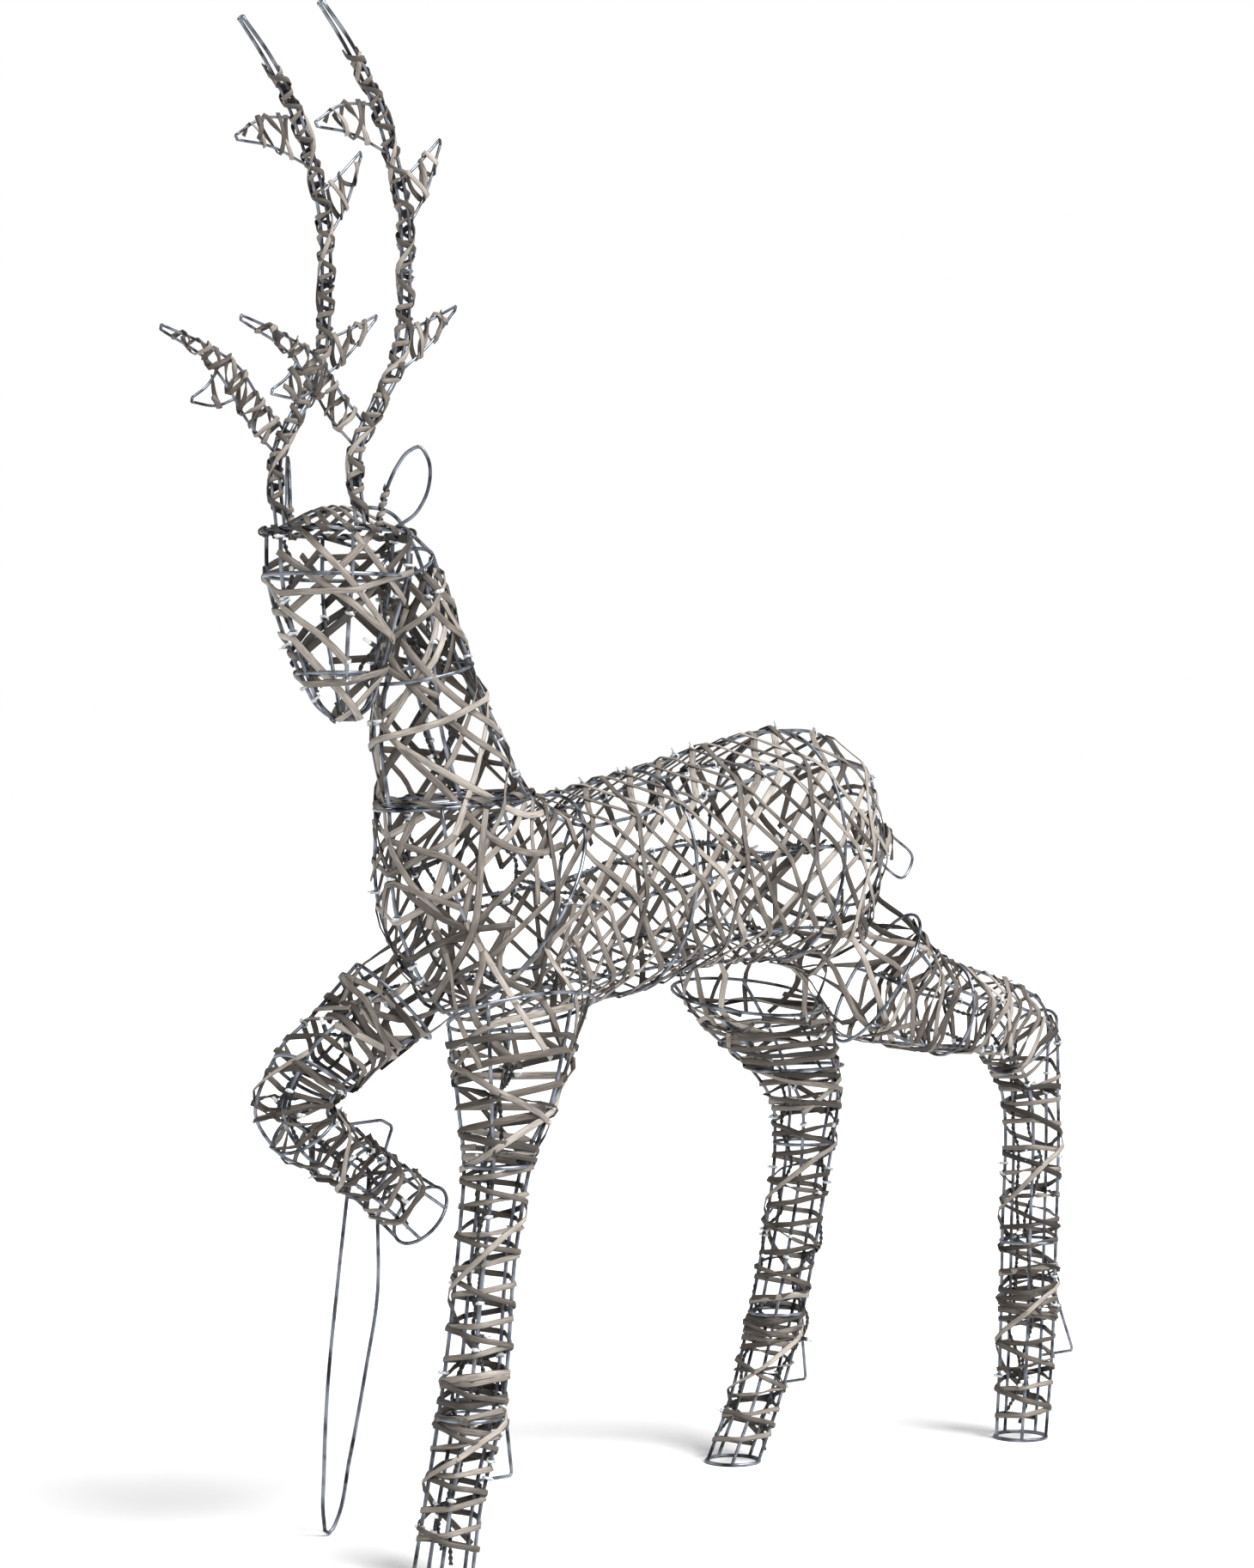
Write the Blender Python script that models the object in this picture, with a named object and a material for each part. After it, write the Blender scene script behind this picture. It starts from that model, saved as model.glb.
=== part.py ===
"""Standing reindeer of welded steel wire, wrapped in flat rattan strip, with a light string inside.

The figure faces -X, its left side is -Y and +Z is up.  Every length is in metres.  Each limb,
the neck, the head and the trunk are cages: long wires through rings, described by stations.
"""
import math

import bmesh
import bpy
from mathutils import Vector

# Stock
WIRE = 0.0036
ANTLER_WIRE = 0.0030
RING_SHARE = 0.92
SQUARE_SHARE = 0.75
STRIP_WIDTH = 0.0080
STRIP_THICK = 0.0016
CABLE = 0.0022
CABLE_SHARE = 0.72
GAP = 0.0003
SLACK = 0.0008
LAYER_STEP = 0.0034

# Wires around each kind of cage
TRUNK_WIRES = 8
NECK_WIRES = 6
HEAD_WIRES = 6
LEG_WIRES = 5
ANTLER_WIRES = 4

# Advance of the wrapping strip for one turn
TRUNK_PITCH = 0.086
NECK_PITCH = 0.052
HEAD_PITCH = 0.040
LEG_PITCH = 0.050
ANTLER_PITCH = 0.030
TAIL_PITCH = 0.016

# The trunk runs back from the chest at x = 0 to its rear ring; the crown is the top of the head
BODY_LENGTH = 0.704
WITHERS_HEIGHT = 0.690
THROAT_DROP = 0.014
SEAM = 0.004
CROWN_HEIGHT = 0.921

# Legs: side offset of the feet, radius of the shank, how far each dewclaw stands out behind
LEG_SIDE = 0.075
RAISED_SIDE = 0.122
SHANK = 0.0275
FRONT_LEFT_DEWCLAW = 0.046
HIND_LEFT_DEWCLAW = 0.064
HIND_RIGHT_DEWCLAW = 0.055

# The wrapping of a leg starts above the hoof; the dewclaw is welded between its turns
LEG_WRAP_START = 0.020
DEWCLAW_LOW = LEG_WRAP_START + LEG_PITCH + STRIP_WIDTH + 0.004
DEWCLAW_HIGH = LEG_WRAP_START + 2 * LEG_PITCH + STRIP_WIDTH + 0.010

# Antlers: they stand in two planes either side of the head
ANTLER_SIDE = 0.049
ANTLER_X = -0.077
ANTLER_HEIGHT = 0.4475
ANTLER_GAP = 0.0005
BEAM_RADIUS = 0.0052
TINE_TIP = 0.004
TINE_SHARE = 0.86
HOOK_SHARE = 0.80

# Ears: leaf-shaped loops that point up and out
EAR_FRONT = -0.060
EAR_BACK = -0.040
EAR_HEIGHT = 0.070
EAR_SPREAD = 0.044
EAR_TURN = math.radians(50.0)

STEEL = ("steel_wire", (0.135, 0.145, 0.160), 0.42, 0.85)
RATTAN = ("rattan_strip", (0.235, 0.195, 0.160), 0.72, 0.0)
CABLE_SHEATH = ("light_cable", (0.012, 0.013, 0.012), 0.45, 0.0)


def clear_scene():
    for old in list(bpy.data.objects):
        bpy.data.objects.remove(old, do_unlink=True)


def collection(name):
    made = bpy.data.collections.new(name)
    bpy.context.scene.collection.children.link(made)
    return made


def material(spec):
    name, colour, roughness, metallic = spec
    found = bpy.data.materials.get(name)
    if found:
        return found
    made = bpy.data.materials.new(name)
    made.use_nodes = True
    shader = made.node_tree.nodes["Principled BSDF"]
    shader.inputs["Base Color"].default_value = (*colour, 1.0)
    shader.inputs["Roughness"].default_value = roughness
    shader.inputs["Metallic"].default_value = metallic
    return made


def station(x, z, half_long, half_wide, y=0.0, lean=0.0, roll=0.0):
    """A ring across a limb: its centre, its half length towards +X and its half width.

    lean lowers the +X end of the ring, roll lifts its -Y side; both are height over half size.
    """
    along = Vector((half_long, 0.0, -half_long * lean))
    across = Vector((0.0, half_wide, -half_wide * roll))
    return Vector((x, y, z)), along, across


def span_station(upper, lower, half_wide, y=0.0, roll=0.0):
    """A ring through an upper and a lower (x, z) point; roll lifts its -Y side."""
    top = Vector((upper[0], y, upper[1]))
    bottom = Vector((lower[0], y, lower[1]))
    return (top + bottom) / 2, (top - bottom) / 2, Vector((0.0, half_wide, -half_wide * roll))


def cage(stations, wires):
    """Rows of wire positions: one row for each station, one place in the row for each wire."""
    turns = [2 * math.pi * i / wires for i in range(wires)]
    return [[c + u * math.cos(a) + v * math.sin(a) for a in turns] for c, u, v in stations]


def wire_mesh(lines, diameter):
    """Closed square tubes along lines of points, with their corners mitred."""
    curve = bpy.data.curves.new("wire_path", "CURVE")
    curve.dimensions = "3D"
    curve.bevel_depth = diameter / 2
    curve.bevel_resolution = 0
    curve.use_fill_caps = True
    for points in lines:
        spline = curve.splines.new("POLY")
        spline.points.add(len(points) - 1)
        for slot, point in zip(spline.points, points):
            slot.co = (*point, 1.0)
            slot.tilt = math.radians(45.0)
    path = bpy.data.objects.new("wire_path", curve)
    bpy.context.scene.collection.objects.link(path)
    bpy.context.view_layer.update()
    seen = path.evaluated_get(bpy.context.evaluated_depsgraph_get())
    mesh = bpy.data.meshes.new_from_object(seen)
    bpy.data.objects.remove(path, do_unlink=True)
    body = bmesh.new()
    body.from_mesh(mesh)
    bmesh.ops.remove_doubles(body, verts=body.verts, dist=0.00001)
    bmesh.ops.recalc_face_normals(body, faces=body.faces)
    body.to_mesh(mesh)
    body.free()
    mesh.materials.clear()
    return mesh


def place(name, mesh, spec):
    mesh.materials.append(material(spec))
    made = bpy.data.objects.new(name, mesh)
    PARTS.objects.link(made)
    made.parent = ROOT
    return made


def weld(target, lines, diameter):
    """Weld more wires onto a frame."""
    unite(target, wire_mesh(lines, diameter))


def unite(target, mesh):
    tool = bpy.data.objects.new(target.name + "_welded", mesh)
    CUTTERS.objects.link(tool)
    tool.parent = ROOT
    tool.hide_render = True
    tool.display_type = "WIRE"
    join = target.modifiers.new("weld", "BOOLEAN")
    join.operation = "UNION"
    join.solver = "EXACT"
    join.object = tool


def welded_cage(rows, ring_rows, diameter):
    """Long wires welded to rings: a box at each joint, and square wires from box to box."""
    half = diameter * SQUARE_SHARE / 2
    body = bmesh.new()
    count = len(rows[0])
    last = len(rows) - 1
    joints = []
    for j, row in enumerate(rows):
        middle = sum(row, Vector()) / count
        layer = []
        for i, point in enumerate(row):
            way = (rows[min(j + 1, last)][i] - rows[max(j - 1, 0)][i]).normalized()
            if j == 0:
                way = (row[0] - middle).cross(row[1] - middle).normalized()
            reach = point - middle
            outward = (reach - way * reach.dot(way)).normalized() * half
            aside = way.cross(outward.normalized()) * half
            corners = (-outward - aside, outward - aside, outward + aside, -outward + aside)
            if j not in ring_rows:
                steps = (0.0,)
            elif j == 0:
                steps = (0.0, 2 * half)
            elif j == last:
                steps = (-2 * half, 0.0)
            else:
                steps = (-half, half)
            layer.append([[body.verts.new(point + way * s + c) for c in corners] for s in steps])
        joints.append(layer)
    for j, layer in enumerate(joints):
        for i, joint in enumerate(layer):
            if j < last:
                bridge(body, joint[-1], joints[j + 1][i][0])
            if len(joint) == 2:
                other = layer[(i + 1) % count]
                low, high = joint
                body.faces.new((low[0], high[0], high[3], low[3]))
                body.faces.new((low[1], low[2], high[2], high[1]))
                bridge(body, (low[3], high[3], high[2], low[2]),
                       (other[0][0], other[1][0], other[1][1], other[0][1]))
            if j == 0:
                body.faces.new(joint[0])
            if j == last:
                body.faces.new(joint[-1])
    bmesh.ops.recalc_face_normals(body, faces=body.faces)
    mesh = bpy.data.meshes.new("cage")
    body.to_mesh(mesh)
    body.free()
    return mesh


def bridge(body, here, there):
    """Four faces from one square of corners to another."""
    for a in range(4):
        b = (a + 1) % 4
        body.faces.new((here[a], here[b], there[b], there[a]))


def frame(name, rows, ring_rows, diameter=WIRE, extra=()):
    made = place(name, welded_cage(rows, ring_rows, diameter), STEEL)
    for lines in extra:
        weld(made, lines, diameter * RING_SHARE)
    return made


class Wound:
    """A cage's surface, as the strip that is wound round it meets it."""

    def __init__(self, rows):
        self.rows = rows
        self.count = len(rows[0])
        self.lengths = []
        for i in range(self.count):
            reached = [0.0]
            for low, high in zip(rows, rows[1:]):
                reached.append(reached[-1] + (high[i] - low[i]).length)
            self.lengths.append(reached)
        self.shortest = [0.0]
        for j in range(1, len(rows)):
            steps = [reached[j] - reached[j - 1] for reached in self.lengths]
            self.shortest.append(self.shortest[-1] + min(steps))

    @staticmethod
    def lookup(table, value):
        """Row number, with its fraction, where a rising table reaches a value."""
        for j in range(len(table) - 1):
            if value <= table[j + 1] or j == len(table) - 2:
                step = table[j + 1] - table[j]
                return j + (value - table[j]) / step
        return 0.0

    def row_at(self, t):
        j = min(int(t), len(self.rows) - 2)
        share = t - j
        return [low.lerp(high, share) for low, high in zip(self.rows[j], self.rows[j + 1])]

    def miter(self, i, t):
        """How far the corner of a strip moves out for each unit that its flats move out."""
        row = self.row_at(t)
        j = min(int(t), len(self.rows) - 2)
        way = (self.rows[j + 1][i] - self.rows[j][i]).normalized()
        middle = sum(row, Vector()) / self.count
        outward = row[i] - middle
        before = row[i] - row[i - 1]
        after = row[(i + 1) % self.count] - row[i]
        normals = []
        for side in (before, after):
            flat = side - way * side.dot(way)
            normal = flat.cross(way).normalized()
            normals.append(normal if normal.dot(outward) > 0 else -normal)
        first, second = normals
        return (first + second) / (1.0 + first.dot(second))

    def bulge(self, i, low, high):
        """How far the wire bends out past a straight line between two places on it."""
        start = self.row_at(low)[i]
        end = self.row_at(high)[i]
        chord = (end - start).normalized()
        worst = 0.0
        for j in range(math.ceil(low), math.floor(high) + 1):
            reach = self.rows[j][i] - start
            worst = max(worst, (reach - chord * reach.dot(chord)).length)
        return worst

    def strip(self, pitch, hand, clear, begin, end, width, thick):
        """Corner blocks of a strip wound from begin to end along the cage's shortest wire."""
        blocks = []
        steps = int((end - begin - width) / pitch * self.count)
        for k in range(steps + 1):
            i = (hand * k) % self.count
            low = self.lookup(self.shortest, begin + k * pitch / self.count)
            j = min(int(low), len(self.rows) - 2)
            reached = self.lengths[i]
            here = reached[j] + (low - j) * (reached[j + 1] - reached[j])
            high = self.lookup(reached, here + width)
            before = self.lookup(self.shortest, max(begin + (k - 1) * pitch / self.count, 0.0))
            after = self.lookup(self.shortest, begin + (k + 1) * pitch / self.count)
            inner = clear + self.bulge(i, before, max(high, after))
            outer = inner + thick
            near, far = self.row_at(low)[i], self.row_at(high)[i]
            near_way, far_way = self.miter(i, low), self.miter(i, high)
            blocks.append([near + near_way * inner, far + far_way * inner,
                           far + far_way * outer, near + near_way * outer])
        return blocks


def strip_mesh(blocks):
    """Skin the strip's corner blocks, one after the other, and close both ends."""
    body = bmesh.new()
    rows = [[body.verts.new(corner) for corner in block] for block in blocks]
    for here, there in zip(rows, rows[1:]):
        for a in range(4):
            b = (a + 1) % 4
            body.faces.new((here[a], here[b], there[b], there[a]))
    body.faces.new(rows[0][::-1])
    body.faces.new(rows[-1])
    bmesh.ops.recalc_face_normals(body, faces=body.faces)
    mesh = bpy.data.meshes.new("strip")
    body.to_mesh(mesh)
    body.free()
    return mesh


def wicker(name, rows, pitch, hand=1, layer=0, begin=0.004, end=None, wire=WIRE, width=STRIP_WIDTH):
    wound = Wound(rows)
    clear = wire / 2 + GAP + SLACK + layer * LAYER_STEP
    stop = wound.shortest[-1] if end is None else end
    blocks = wound.strip(pitch, hand, clear, begin, stop, width, STRIP_THICK)
    return place(name, strip_mesh(blocks), RATTAN)


def light_run(name, rows, wire):
    """The light string's stretch along the inside of one wire of a cage."""
    points = []
    for row in rows:
        middle = sum(row, Vector()) / len(row)
        points.append(middle.lerp(row[wire], CABLE_SHARE))
    return place(name, wire_mesh([points], CABLE), CABLE_SHEATH)


def wire_point(rows, wire, reach):
    """The place on one wire of a cage that is a length up from its first ring."""
    left = reach
    for low, high in zip(rows, rows[1:]):
        step = (high[wire] - low[wire]).length
        if left <= step:
            return low[wire].lerp(high[wire], left / step)
        left -= step
    return rows[-1][wire]


def trunk():
    rows = cage([
        span_station((BODY_LENGTH, 0.690), (BODY_LENGTH - 0.006, 0.574), 0.042),
        span_station((BODY_LENGTH - 0.040, 0.744), (BODY_LENGTH - 0.052, 0.512), 0.074),
        span_station((BODY_LENGTH - 0.129, 0.754), (BODY_LENGTH - 0.129, 0.522), 0.088),
        span_station((BODY_LENGTH - 0.244, 0.736), (BODY_LENGTH - 0.249, 0.521), 0.087),
        span_station((0.350, WITHERS_HEIGHT + 0.023), (0.330, 0.498), 0.087),
        span_station((0.275, WITHERS_HEIGHT + 0.008), (0.200, 0.490), 0.089),
        span_station((0.228, WITHERS_HEIGHT), (0.082, 0.494), 0.086),
        span_station((0.198, WITHERS_HEIGHT - 0.002), (0.020, WITHERS_HEIGHT - 0.110), 0.070),
        span_station((0.179, WITHERS_HEIGHT), (0.010, WITHERS_HEIGHT - THROAT_DROP), 0.058),
    ], TRUNK_WIRES)
    frame("body_frame", rows, (0, 2, 4, 6, 8))
    stop = Wound(rows).shortest[-1] - 0.020
    wicker("body_wicker_under", rows, TRUNK_PITCH, end=stop)
    wicker("body_wicker_over", rows, TRUNK_PITCH, hand=-1, layer=1, end=stop)
    light_run("light_string_body", rows, 2)


def up_neck(share):
    """Height of a place on the neck, from the withers at 0 to the crown at 1."""
    return WITHERS_HEIGHT + (CROWN_HEIGHT - WITHERS_HEIGHT) * share


def head_and_neck():
    neck = cage([
        span_station((0.180, WITHERS_HEIGHT + SEAM), (0.010, WITHERS_HEIGHT - THROAT_DROP + SEAM), 0.057),
        span_station((0.139, up_neck(0.290)), (0.000, up_neck(0.208)), 0.049),
        span_station((0.101, up_neck(0.528)), (0.006, up_neck(0.429)), 0.043),
        span_station((0.071, up_neck(0.745)), (0.020, up_neck(0.623)), 0.037),
        span_station((0.044, up_neck(0.961)), (0.022, up_neck(0.848)), 0.030),
    ], NECK_WIRES)
    head = cage([
        station(-0.048, CROWN_HEIGHT - 0.164, 0.010, 0.008),
        station(-0.048, CROWN_HEIGHT - 0.153, 0.027, 0.021),
        station(-0.052, CROWN_HEIGHT - 0.124, 0.042, 0.033),
        station(-0.056, CROWN_HEIGHT - 0.083, 0.056, 0.048),
        station(-0.056, CROWN_HEIGHT - 0.039, 0.068, 0.060),
        station(-0.055, CROWN_HEIGHT, 0.070, 0.062),
    ], HEAD_WIRES)
    crown, nape = head[-1], neck[-1]
    rails = [[nape[0], Vector((0.020, 0.0, CROWN_HEIGHT + 0.017)),
              Vector((-0.055, 0.0, CROWN_HEIGHT + 0.021)), crown[3]]]
    sink = Vector((0.0, 0.0, -WIRE * SQUARE_SHARE / 2))
    side_rails = [[nape[1], crown[1] + sink], [nape[5], crown[5] + sink]]
    made = frame("head_and_neck_frame", neck, (0, 2, 4))
    unite(made, welded_cage(head, (0, 2, 4, 5), WIRE))
    weld(made, side_rails, WIRE * RING_SHARE)
    weld(made, rails, WIRE * RING_SHARE)
    wicker("neck_wicker_under", neck, NECK_PITCH, begin=0.014)
    wicker("neck_wicker_over", neck, NECK_PITCH, hand=-1, layer=1, begin=0.014)
    wicker("head_wicker", head, HEAD_PITCH, begin=0.020)
    light_run("light_string_neck", neck, 1)
    return neck, head


def leg(name, stations, ring_rows, light_wire, dewclaw=None, knee=None):
    """One leg from its hoof up: cage, wrapping, dewclaw and the light string inside it."""
    rows = cage(stations, LEG_WIRES)
    extra = []
    if dewclaw:
        low = wire_point(rows, 0, DEWCLAW_LOW)
        high = wire_point(rows, 0, DEWCLAW_HIGH)
        middle = sum(rows[0], Vector()) / LEG_WIRES
        back = (rows[0][0] - middle).normalized() * dewclaw
        extra.append([[high, low + back, low]])
    frame(name + "_frame", rows, ring_rows, extra=extra)
    if knee is None:
        wicker(name + "_wicker", rows, LEG_PITCH, begin=LEG_WRAP_START)
    else:
        wicker(name + "_wicker_lower", rows[:knee], LEG_PITCH)
        wicker(name + "_wicker_upper", rows[knee + 1:], LEG_PITCH)
    light_run("light_string_" + name, rows[1:], light_wire)
    return rows


def straight_hoof(x, y):
    """A hoof ring that lies flat on the ground."""
    return station(x, 0.0, SHANK, SHANK, y)


def front_left_leg():
    side = -LEG_SIDE
    return leg("front_left_leg", [
        straight_hoof(0.000, side),
        station(0.015, 0.070, 0.0260, 0.0260, side),
        station(0.036, 0.140, 0.0295, 0.0285, side),
        station(0.061, 0.300, SHANK, SHANK, side),
        station(0.073, 0.360, 0.0330, 0.0300, side),
        station(0.090, 0.415, 0.0600, 0.0340, side, roll=0.10),
        station(0.104, 0.495, 0.0880, 0.0400, side, roll=0.47),
    ], (0, 2, 4, 6), 1, dewclaw=FRONT_LEFT_DEWCLAW)


def hind_left_leg():
    side = -LEG_SIDE
    return leg("hind_left_leg", [
        straight_hoof(BODY_LENGTH + 0.203, side),
        station(BODY_LENGTH + 0.212, 0.087, 0.0290, 0.0290, side),
        station(BODY_LENGTH + 0.215, 0.210, 0.0300, 0.0300, side - 0.002),
        station(BODY_LENGTH + 0.214, 0.370, 0.0320, 0.0310, side - 0.004),
        station(BODY_LENGTH + 0.200, 0.425, 0.0420, 0.0330, side - 0.005, lean=-0.75),
        span_station((BODY_LENGTH + 0.148, 0.495), (BODY_LENGTH + 0.134, 0.412), 0.0340, side - 0.003),
        span_station((BODY_LENGTH + 0.074, 0.514), (BODY_LENGTH + 0.056, 0.418), 0.0370, side + 0.003),
        span_station((BODY_LENGTH + 0.041, 0.538), (BODY_LENGTH - 0.022, 0.425), 0.0390, side + 0.010),
        span_station((BODY_LENGTH + 0.018, 0.564), (BODY_LENGTH - 0.084, 0.440), 0.0400,
                     side + 0.018, roll=0.30),
    ], (0, 2, 4, 6, 8), 1, dewclaw=HIND_LEFT_DEWCLAW)


def hind_right_leg():
    side = LEG_SIDE
    return leg("hind_right_leg", [
        straight_hoof(BODY_LENGTH - 0.104, side),
        station(BODY_LENGTH - 0.068, 0.060, 0.0270, 0.0270, side),
        station(BODY_LENGTH - 0.031, 0.147, 0.0285, 0.0285, side),
        station(BODY_LENGTH - 0.004, 0.232, 0.0290, 0.0290, side),
        station(BODY_LENGTH + 0.017, 0.321, 0.0330, 0.0310, side),
        station(BODY_LENGTH + 0.019, 0.362, 0.0410, 0.0330, side - 0.002),
        station(BODY_LENGTH - 0.002, 0.402, 0.0650, 0.0350, side - 0.006),
        station(BODY_LENGTH - 0.052, 0.443, 0.1010, 0.0370, side - 0.013, roll=-0.20),
        station(BODY_LENGTH - 0.102, 0.481, 0.1170, 0.0390, side - 0.020, lean=0.06, roll=-0.45),
    ], (0, 2, 4, 6, 8), 4, dewclaw=HIND_RIGHT_DEWCLAW)


def raised_leg():
    side = RAISED_SIDE
    rows = leg("front_right_leg", [
        (Vector((0.180, side, 0.290)), Vector((0.021, 0, 0.025)), Vector((0, 0.028, 0))),
        (Vector((0.144, side, 0.313)), Vector((0.015, 0, 0.024)), Vector((0, 0.026, 0))),
        (Vector((0.106, side, 0.337)), Vector((0.015, 0, 0.022)), Vector((0, 0.026, 0))),
        (Vector((0.061, side, 0.363)), Vector((0.017, 0, 0.024)), Vector((0, 0.028, 0))),
        (Vector((0.023, side - 0.002, 0.384)), Vector((0.027, 0, 0.021)), Vector((0, 0.030, 0))),
        (Vector((0.007, side - 0.006, 0.401)), Vector((0.040, 0, 0.003)), Vector((0, 0.031, 0))),
        (Vector((0.018, side - 0.014, 0.432)), Vector((0.032, 0, -0.022)), Vector((0, 0.033, 0))),
        (Vector((0.052, side - 0.028, 0.462)), Vector((0.028, 0, -0.032)), Vector((0, 0.036, 0))),
        (Vector((0.103, side - 0.038, 0.498)), Vector((0.033, 0, -0.030)), Vector((0, 0.036, 0.018))),
    ], (0, 2, 4, 6, 8), 1, knee=5)
    return rows


def tine(root_low, root_high, tip, bow_low, bow_high):
    """A leaf-shaped tine: one wire from the beam out to the blunt tip and back to the beam."""
    low, high, end = Vector(root_low), Vector(root_high), Vector(tip)
    across = (high - low).normalized()
    half = across * TINE_TIP / 2
    belly_low = low.lerp(end, 0.5) + across * bow_low
    belly_high = high.lerp(end, 0.5) + across * bow_high
    return [low, belly_low, end - half, end + half, belly_high, high]


def antler(name, side):
    """Beam of four wires, with two forward and two backward tines and a forked brow tine."""
    y = side * ANTLER_SIDE
    base = CROWN_HEIGHT + ANTLER_GAP
    path = [
        (0.000, 0.000), (-0.004, 0.153), (0.017, 0.231), (0.041, 0.305), (0.053, 0.390), (0.057, 0.511),
        (0.054, 0.634), (0.038, 0.745), (0.015, 0.846), (-0.015, 0.931), (-0.048, 1.000),
    ]
    path = [(ANTLER_X + x, base + ANTLER_HEIGHT * up) for x, up in path]
    shares = [1.0] * 7 + [0.95, 0.9, 0.8, 0.5]
    stations = []
    for k, (x, z) in enumerate(path):
        before = Vector(path[max(k - 1, 0)])
        after = Vector(path[min(k + 1, len(path) - 1)])
        way = (after - before).normalized()
        radius = BEAM_RADIUS * shares[k]
        outward = Vector((way.y, 0.0, -way.x)) * radius
        stations.append((Vector((x, y, z)), outward, Vector((0.0, radius, 0.0))))
    rows = cage(stations, ANTLER_WIRES)
    back, front = 0, 2

    def on_beam(wire, row, share):
        return rows[row][wire].lerp(rows[row + 1][wire], share)

    def at(x, up):
        return Vector((ANTLER_X + x, y, base + ANTLER_HEIGHT * up))

    forward = tine(on_beam(front, 6, 0.95), on_beam(front, 7, 0.85), at(-0.054, 0.765), 0.005, 0.008)
    upper_back = tine(on_beam(back, 5, 0.70), on_beam(back, 6, 0.45), at(0.101, 0.779), -0.008, 0.0)
    lower_back = tine(on_beam(back, 3, 0.10), on_beam(back, 4, 0.05), at(0.121, 0.453), -0.008, 0.0)
    brow = [on_beam(front, 1, 0.05), at(-0.039, 0.211), at(-0.063, 0.274), at(-0.082, 0.314),
            at(-0.143, 0.372), at(-0.142, 0.381), at(-0.089, 0.352), at(-0.050, 0.316),
            at(-0.024, 0.256), on_beam(front, 1, 0.60)]
    hook = [brow[1].lerp(brow[2], 0.70), at(-0.077, 0.238), at(-0.107, 0.240), at(-0.106, 0.249),
            at(-0.089, 0.274), brow[2].lerp(brow[3], 0.75)]
    tines = [forward, upper_back, lower_back, brow]
    made = frame(name + "_frame", rows, (0, 1, 5, 10), ANTLER_WIRE)
    weld(made, tines, ANTLER_WIRE * TINE_SHARE)
    weld(made, [hook], ANTLER_WIRE * HOOK_SHARE)
    wound = Wound(rows)
    reach = wound.shortest
    stretches = {
        "lower": (reach[2] + 0.3 * (reach[3] - reach[2]), reach[3] + 0.2 * (reach[4] - reach[3])),
        "middle": (reach[4] + 0.50 * (reach[5] - reach[4]), reach[5] + 0.65 * (reach[6] - reach[5])),
        "upper": (reach[7] + 0.9 * (reach[8] - reach[7]), reach[10] - 0.012),
    }
    for label, (begin, end) in stretches.items():
        wicker(name + "_wicker_" + label, rows, ANTLER_PITCH, begin=begin, end=end,
               wire=ANTLER_WIRE)


def ear(name, side, crown):
    """A leaf-shaped loop of wire whose two feet stand on the crown ring."""
    rim_y, rim_z = crown[1].y, crown[0].z + WIRE / 2
    front = Vector((EAR_FRONT, side * rim_y, rim_z))
    back = Vector((EAR_BACK, side * rim_y, rim_z))
    spread = Vector((math.cos(EAR_TURN), side * math.sin(EAR_TURN), 0.0)) * EAR_SPREAD
    up = Vector((0.0, 0.0, EAR_HEIGHT))
    outline = [(0.20, 0.52), (0.38, 0.76), (0.60, 0.94), (0.82, 1.00), (0.98, 0.86), (1.0, 0.50),
               (0.78, 0.20)]
    points = [front] + [front + spread * a + up * b for a, b in outline] + [back]
    return place(name, wire_mesh([points], WIRE * RING_SHARE), STEEL)


def tail():
    """A loop of wire behind the rump, wrapped over its first half."""
    upper = [(BODY_LENGTH + 0.032, 0.668), (BODY_LENGTH + 0.076, 0.643), (BODY_LENGTH + 0.109, 0.620)]
    lower = [(BODY_LENGTH + 0.034, 0.636), (BODY_LENGTH + 0.064, 0.610), (BODY_LENGTH + 0.093, 0.601)]
    as_points = [Vector((x, 0.0, z)) for x, z in upper + lower[::-1]]
    place("tail_frame", wire_mesh([as_points], WIRE * RING_SHARE), STEEL)
    sliver = Vector((0.0, 0.0006, 0.0))
    rows = []
    for (ux, uz), (lx, lz) in zip(upper[:2], lower[:2]):
        top, bottom = Vector((ux, 0.0, uz)), Vector((lx, 0.0, lz))
        rows.append([top + sliver, bottom + sliver, bottom - sliver, top - sliver])
    wicker("tail_wicker", rows, TAIL_PITCH, begin=0.002)


def prop(leg_rows):
    """The long hairpin of wire that carries the raised leg."""
    under = 2
    below = Vector((-0.35, 0.0, -1.0)).normalized() * (WIRE + STRIP_THICK + SLACK + 3 * GAP)
    front_top = leg_rows[2][under].lerp(leg_rows[1][under], 0.11) + below
    back_top = leg_rows[1][under].lerp(leg_rows[0][under], 0.25) + below
    side = front_top.y
    foot = WIRE / 2 * math.cos(math.radians(45.0))
    outline = [(0.085, 0.240), (0.070, 0.130), (0.066, 0.060), (0.066, 0.014), (0.069, foot),
               (0.075, foot), (0.081, 0.010), (0.100, 0.068), (0.122, 0.150), (0.137, 0.215)]
    points = [front_top] + [Vector((x, side, z)) for x, z in outline] + [back_top]
    place("raised_leg_prop", wire_mesh([points], WIRE), STEEL)


def stand_on_origin():
    """Move the whole figure so that the middle of its underside is the origin."""
    bpy.context.view_layer.update()
    depsgraph = bpy.context.evaluated_depsgraph_get()
    corners = []
    for piece in PARTS.objects:
        seen = piece.evaluated_get(depsgraph)
        corners += [seen.matrix_world @ Vector(corner) for corner in seen.bound_box]
    low = Vector([min(c[i] for c in corners) for i in range(3)])
    high = Vector([max(c[i] for c in corners) for i in range(3)])
    ROOT.location = Vector((-(low.x + high.x) / 2, -(low.y + high.y) / 2, -low.z))
    bpy.context.view_layer.update()


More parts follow.
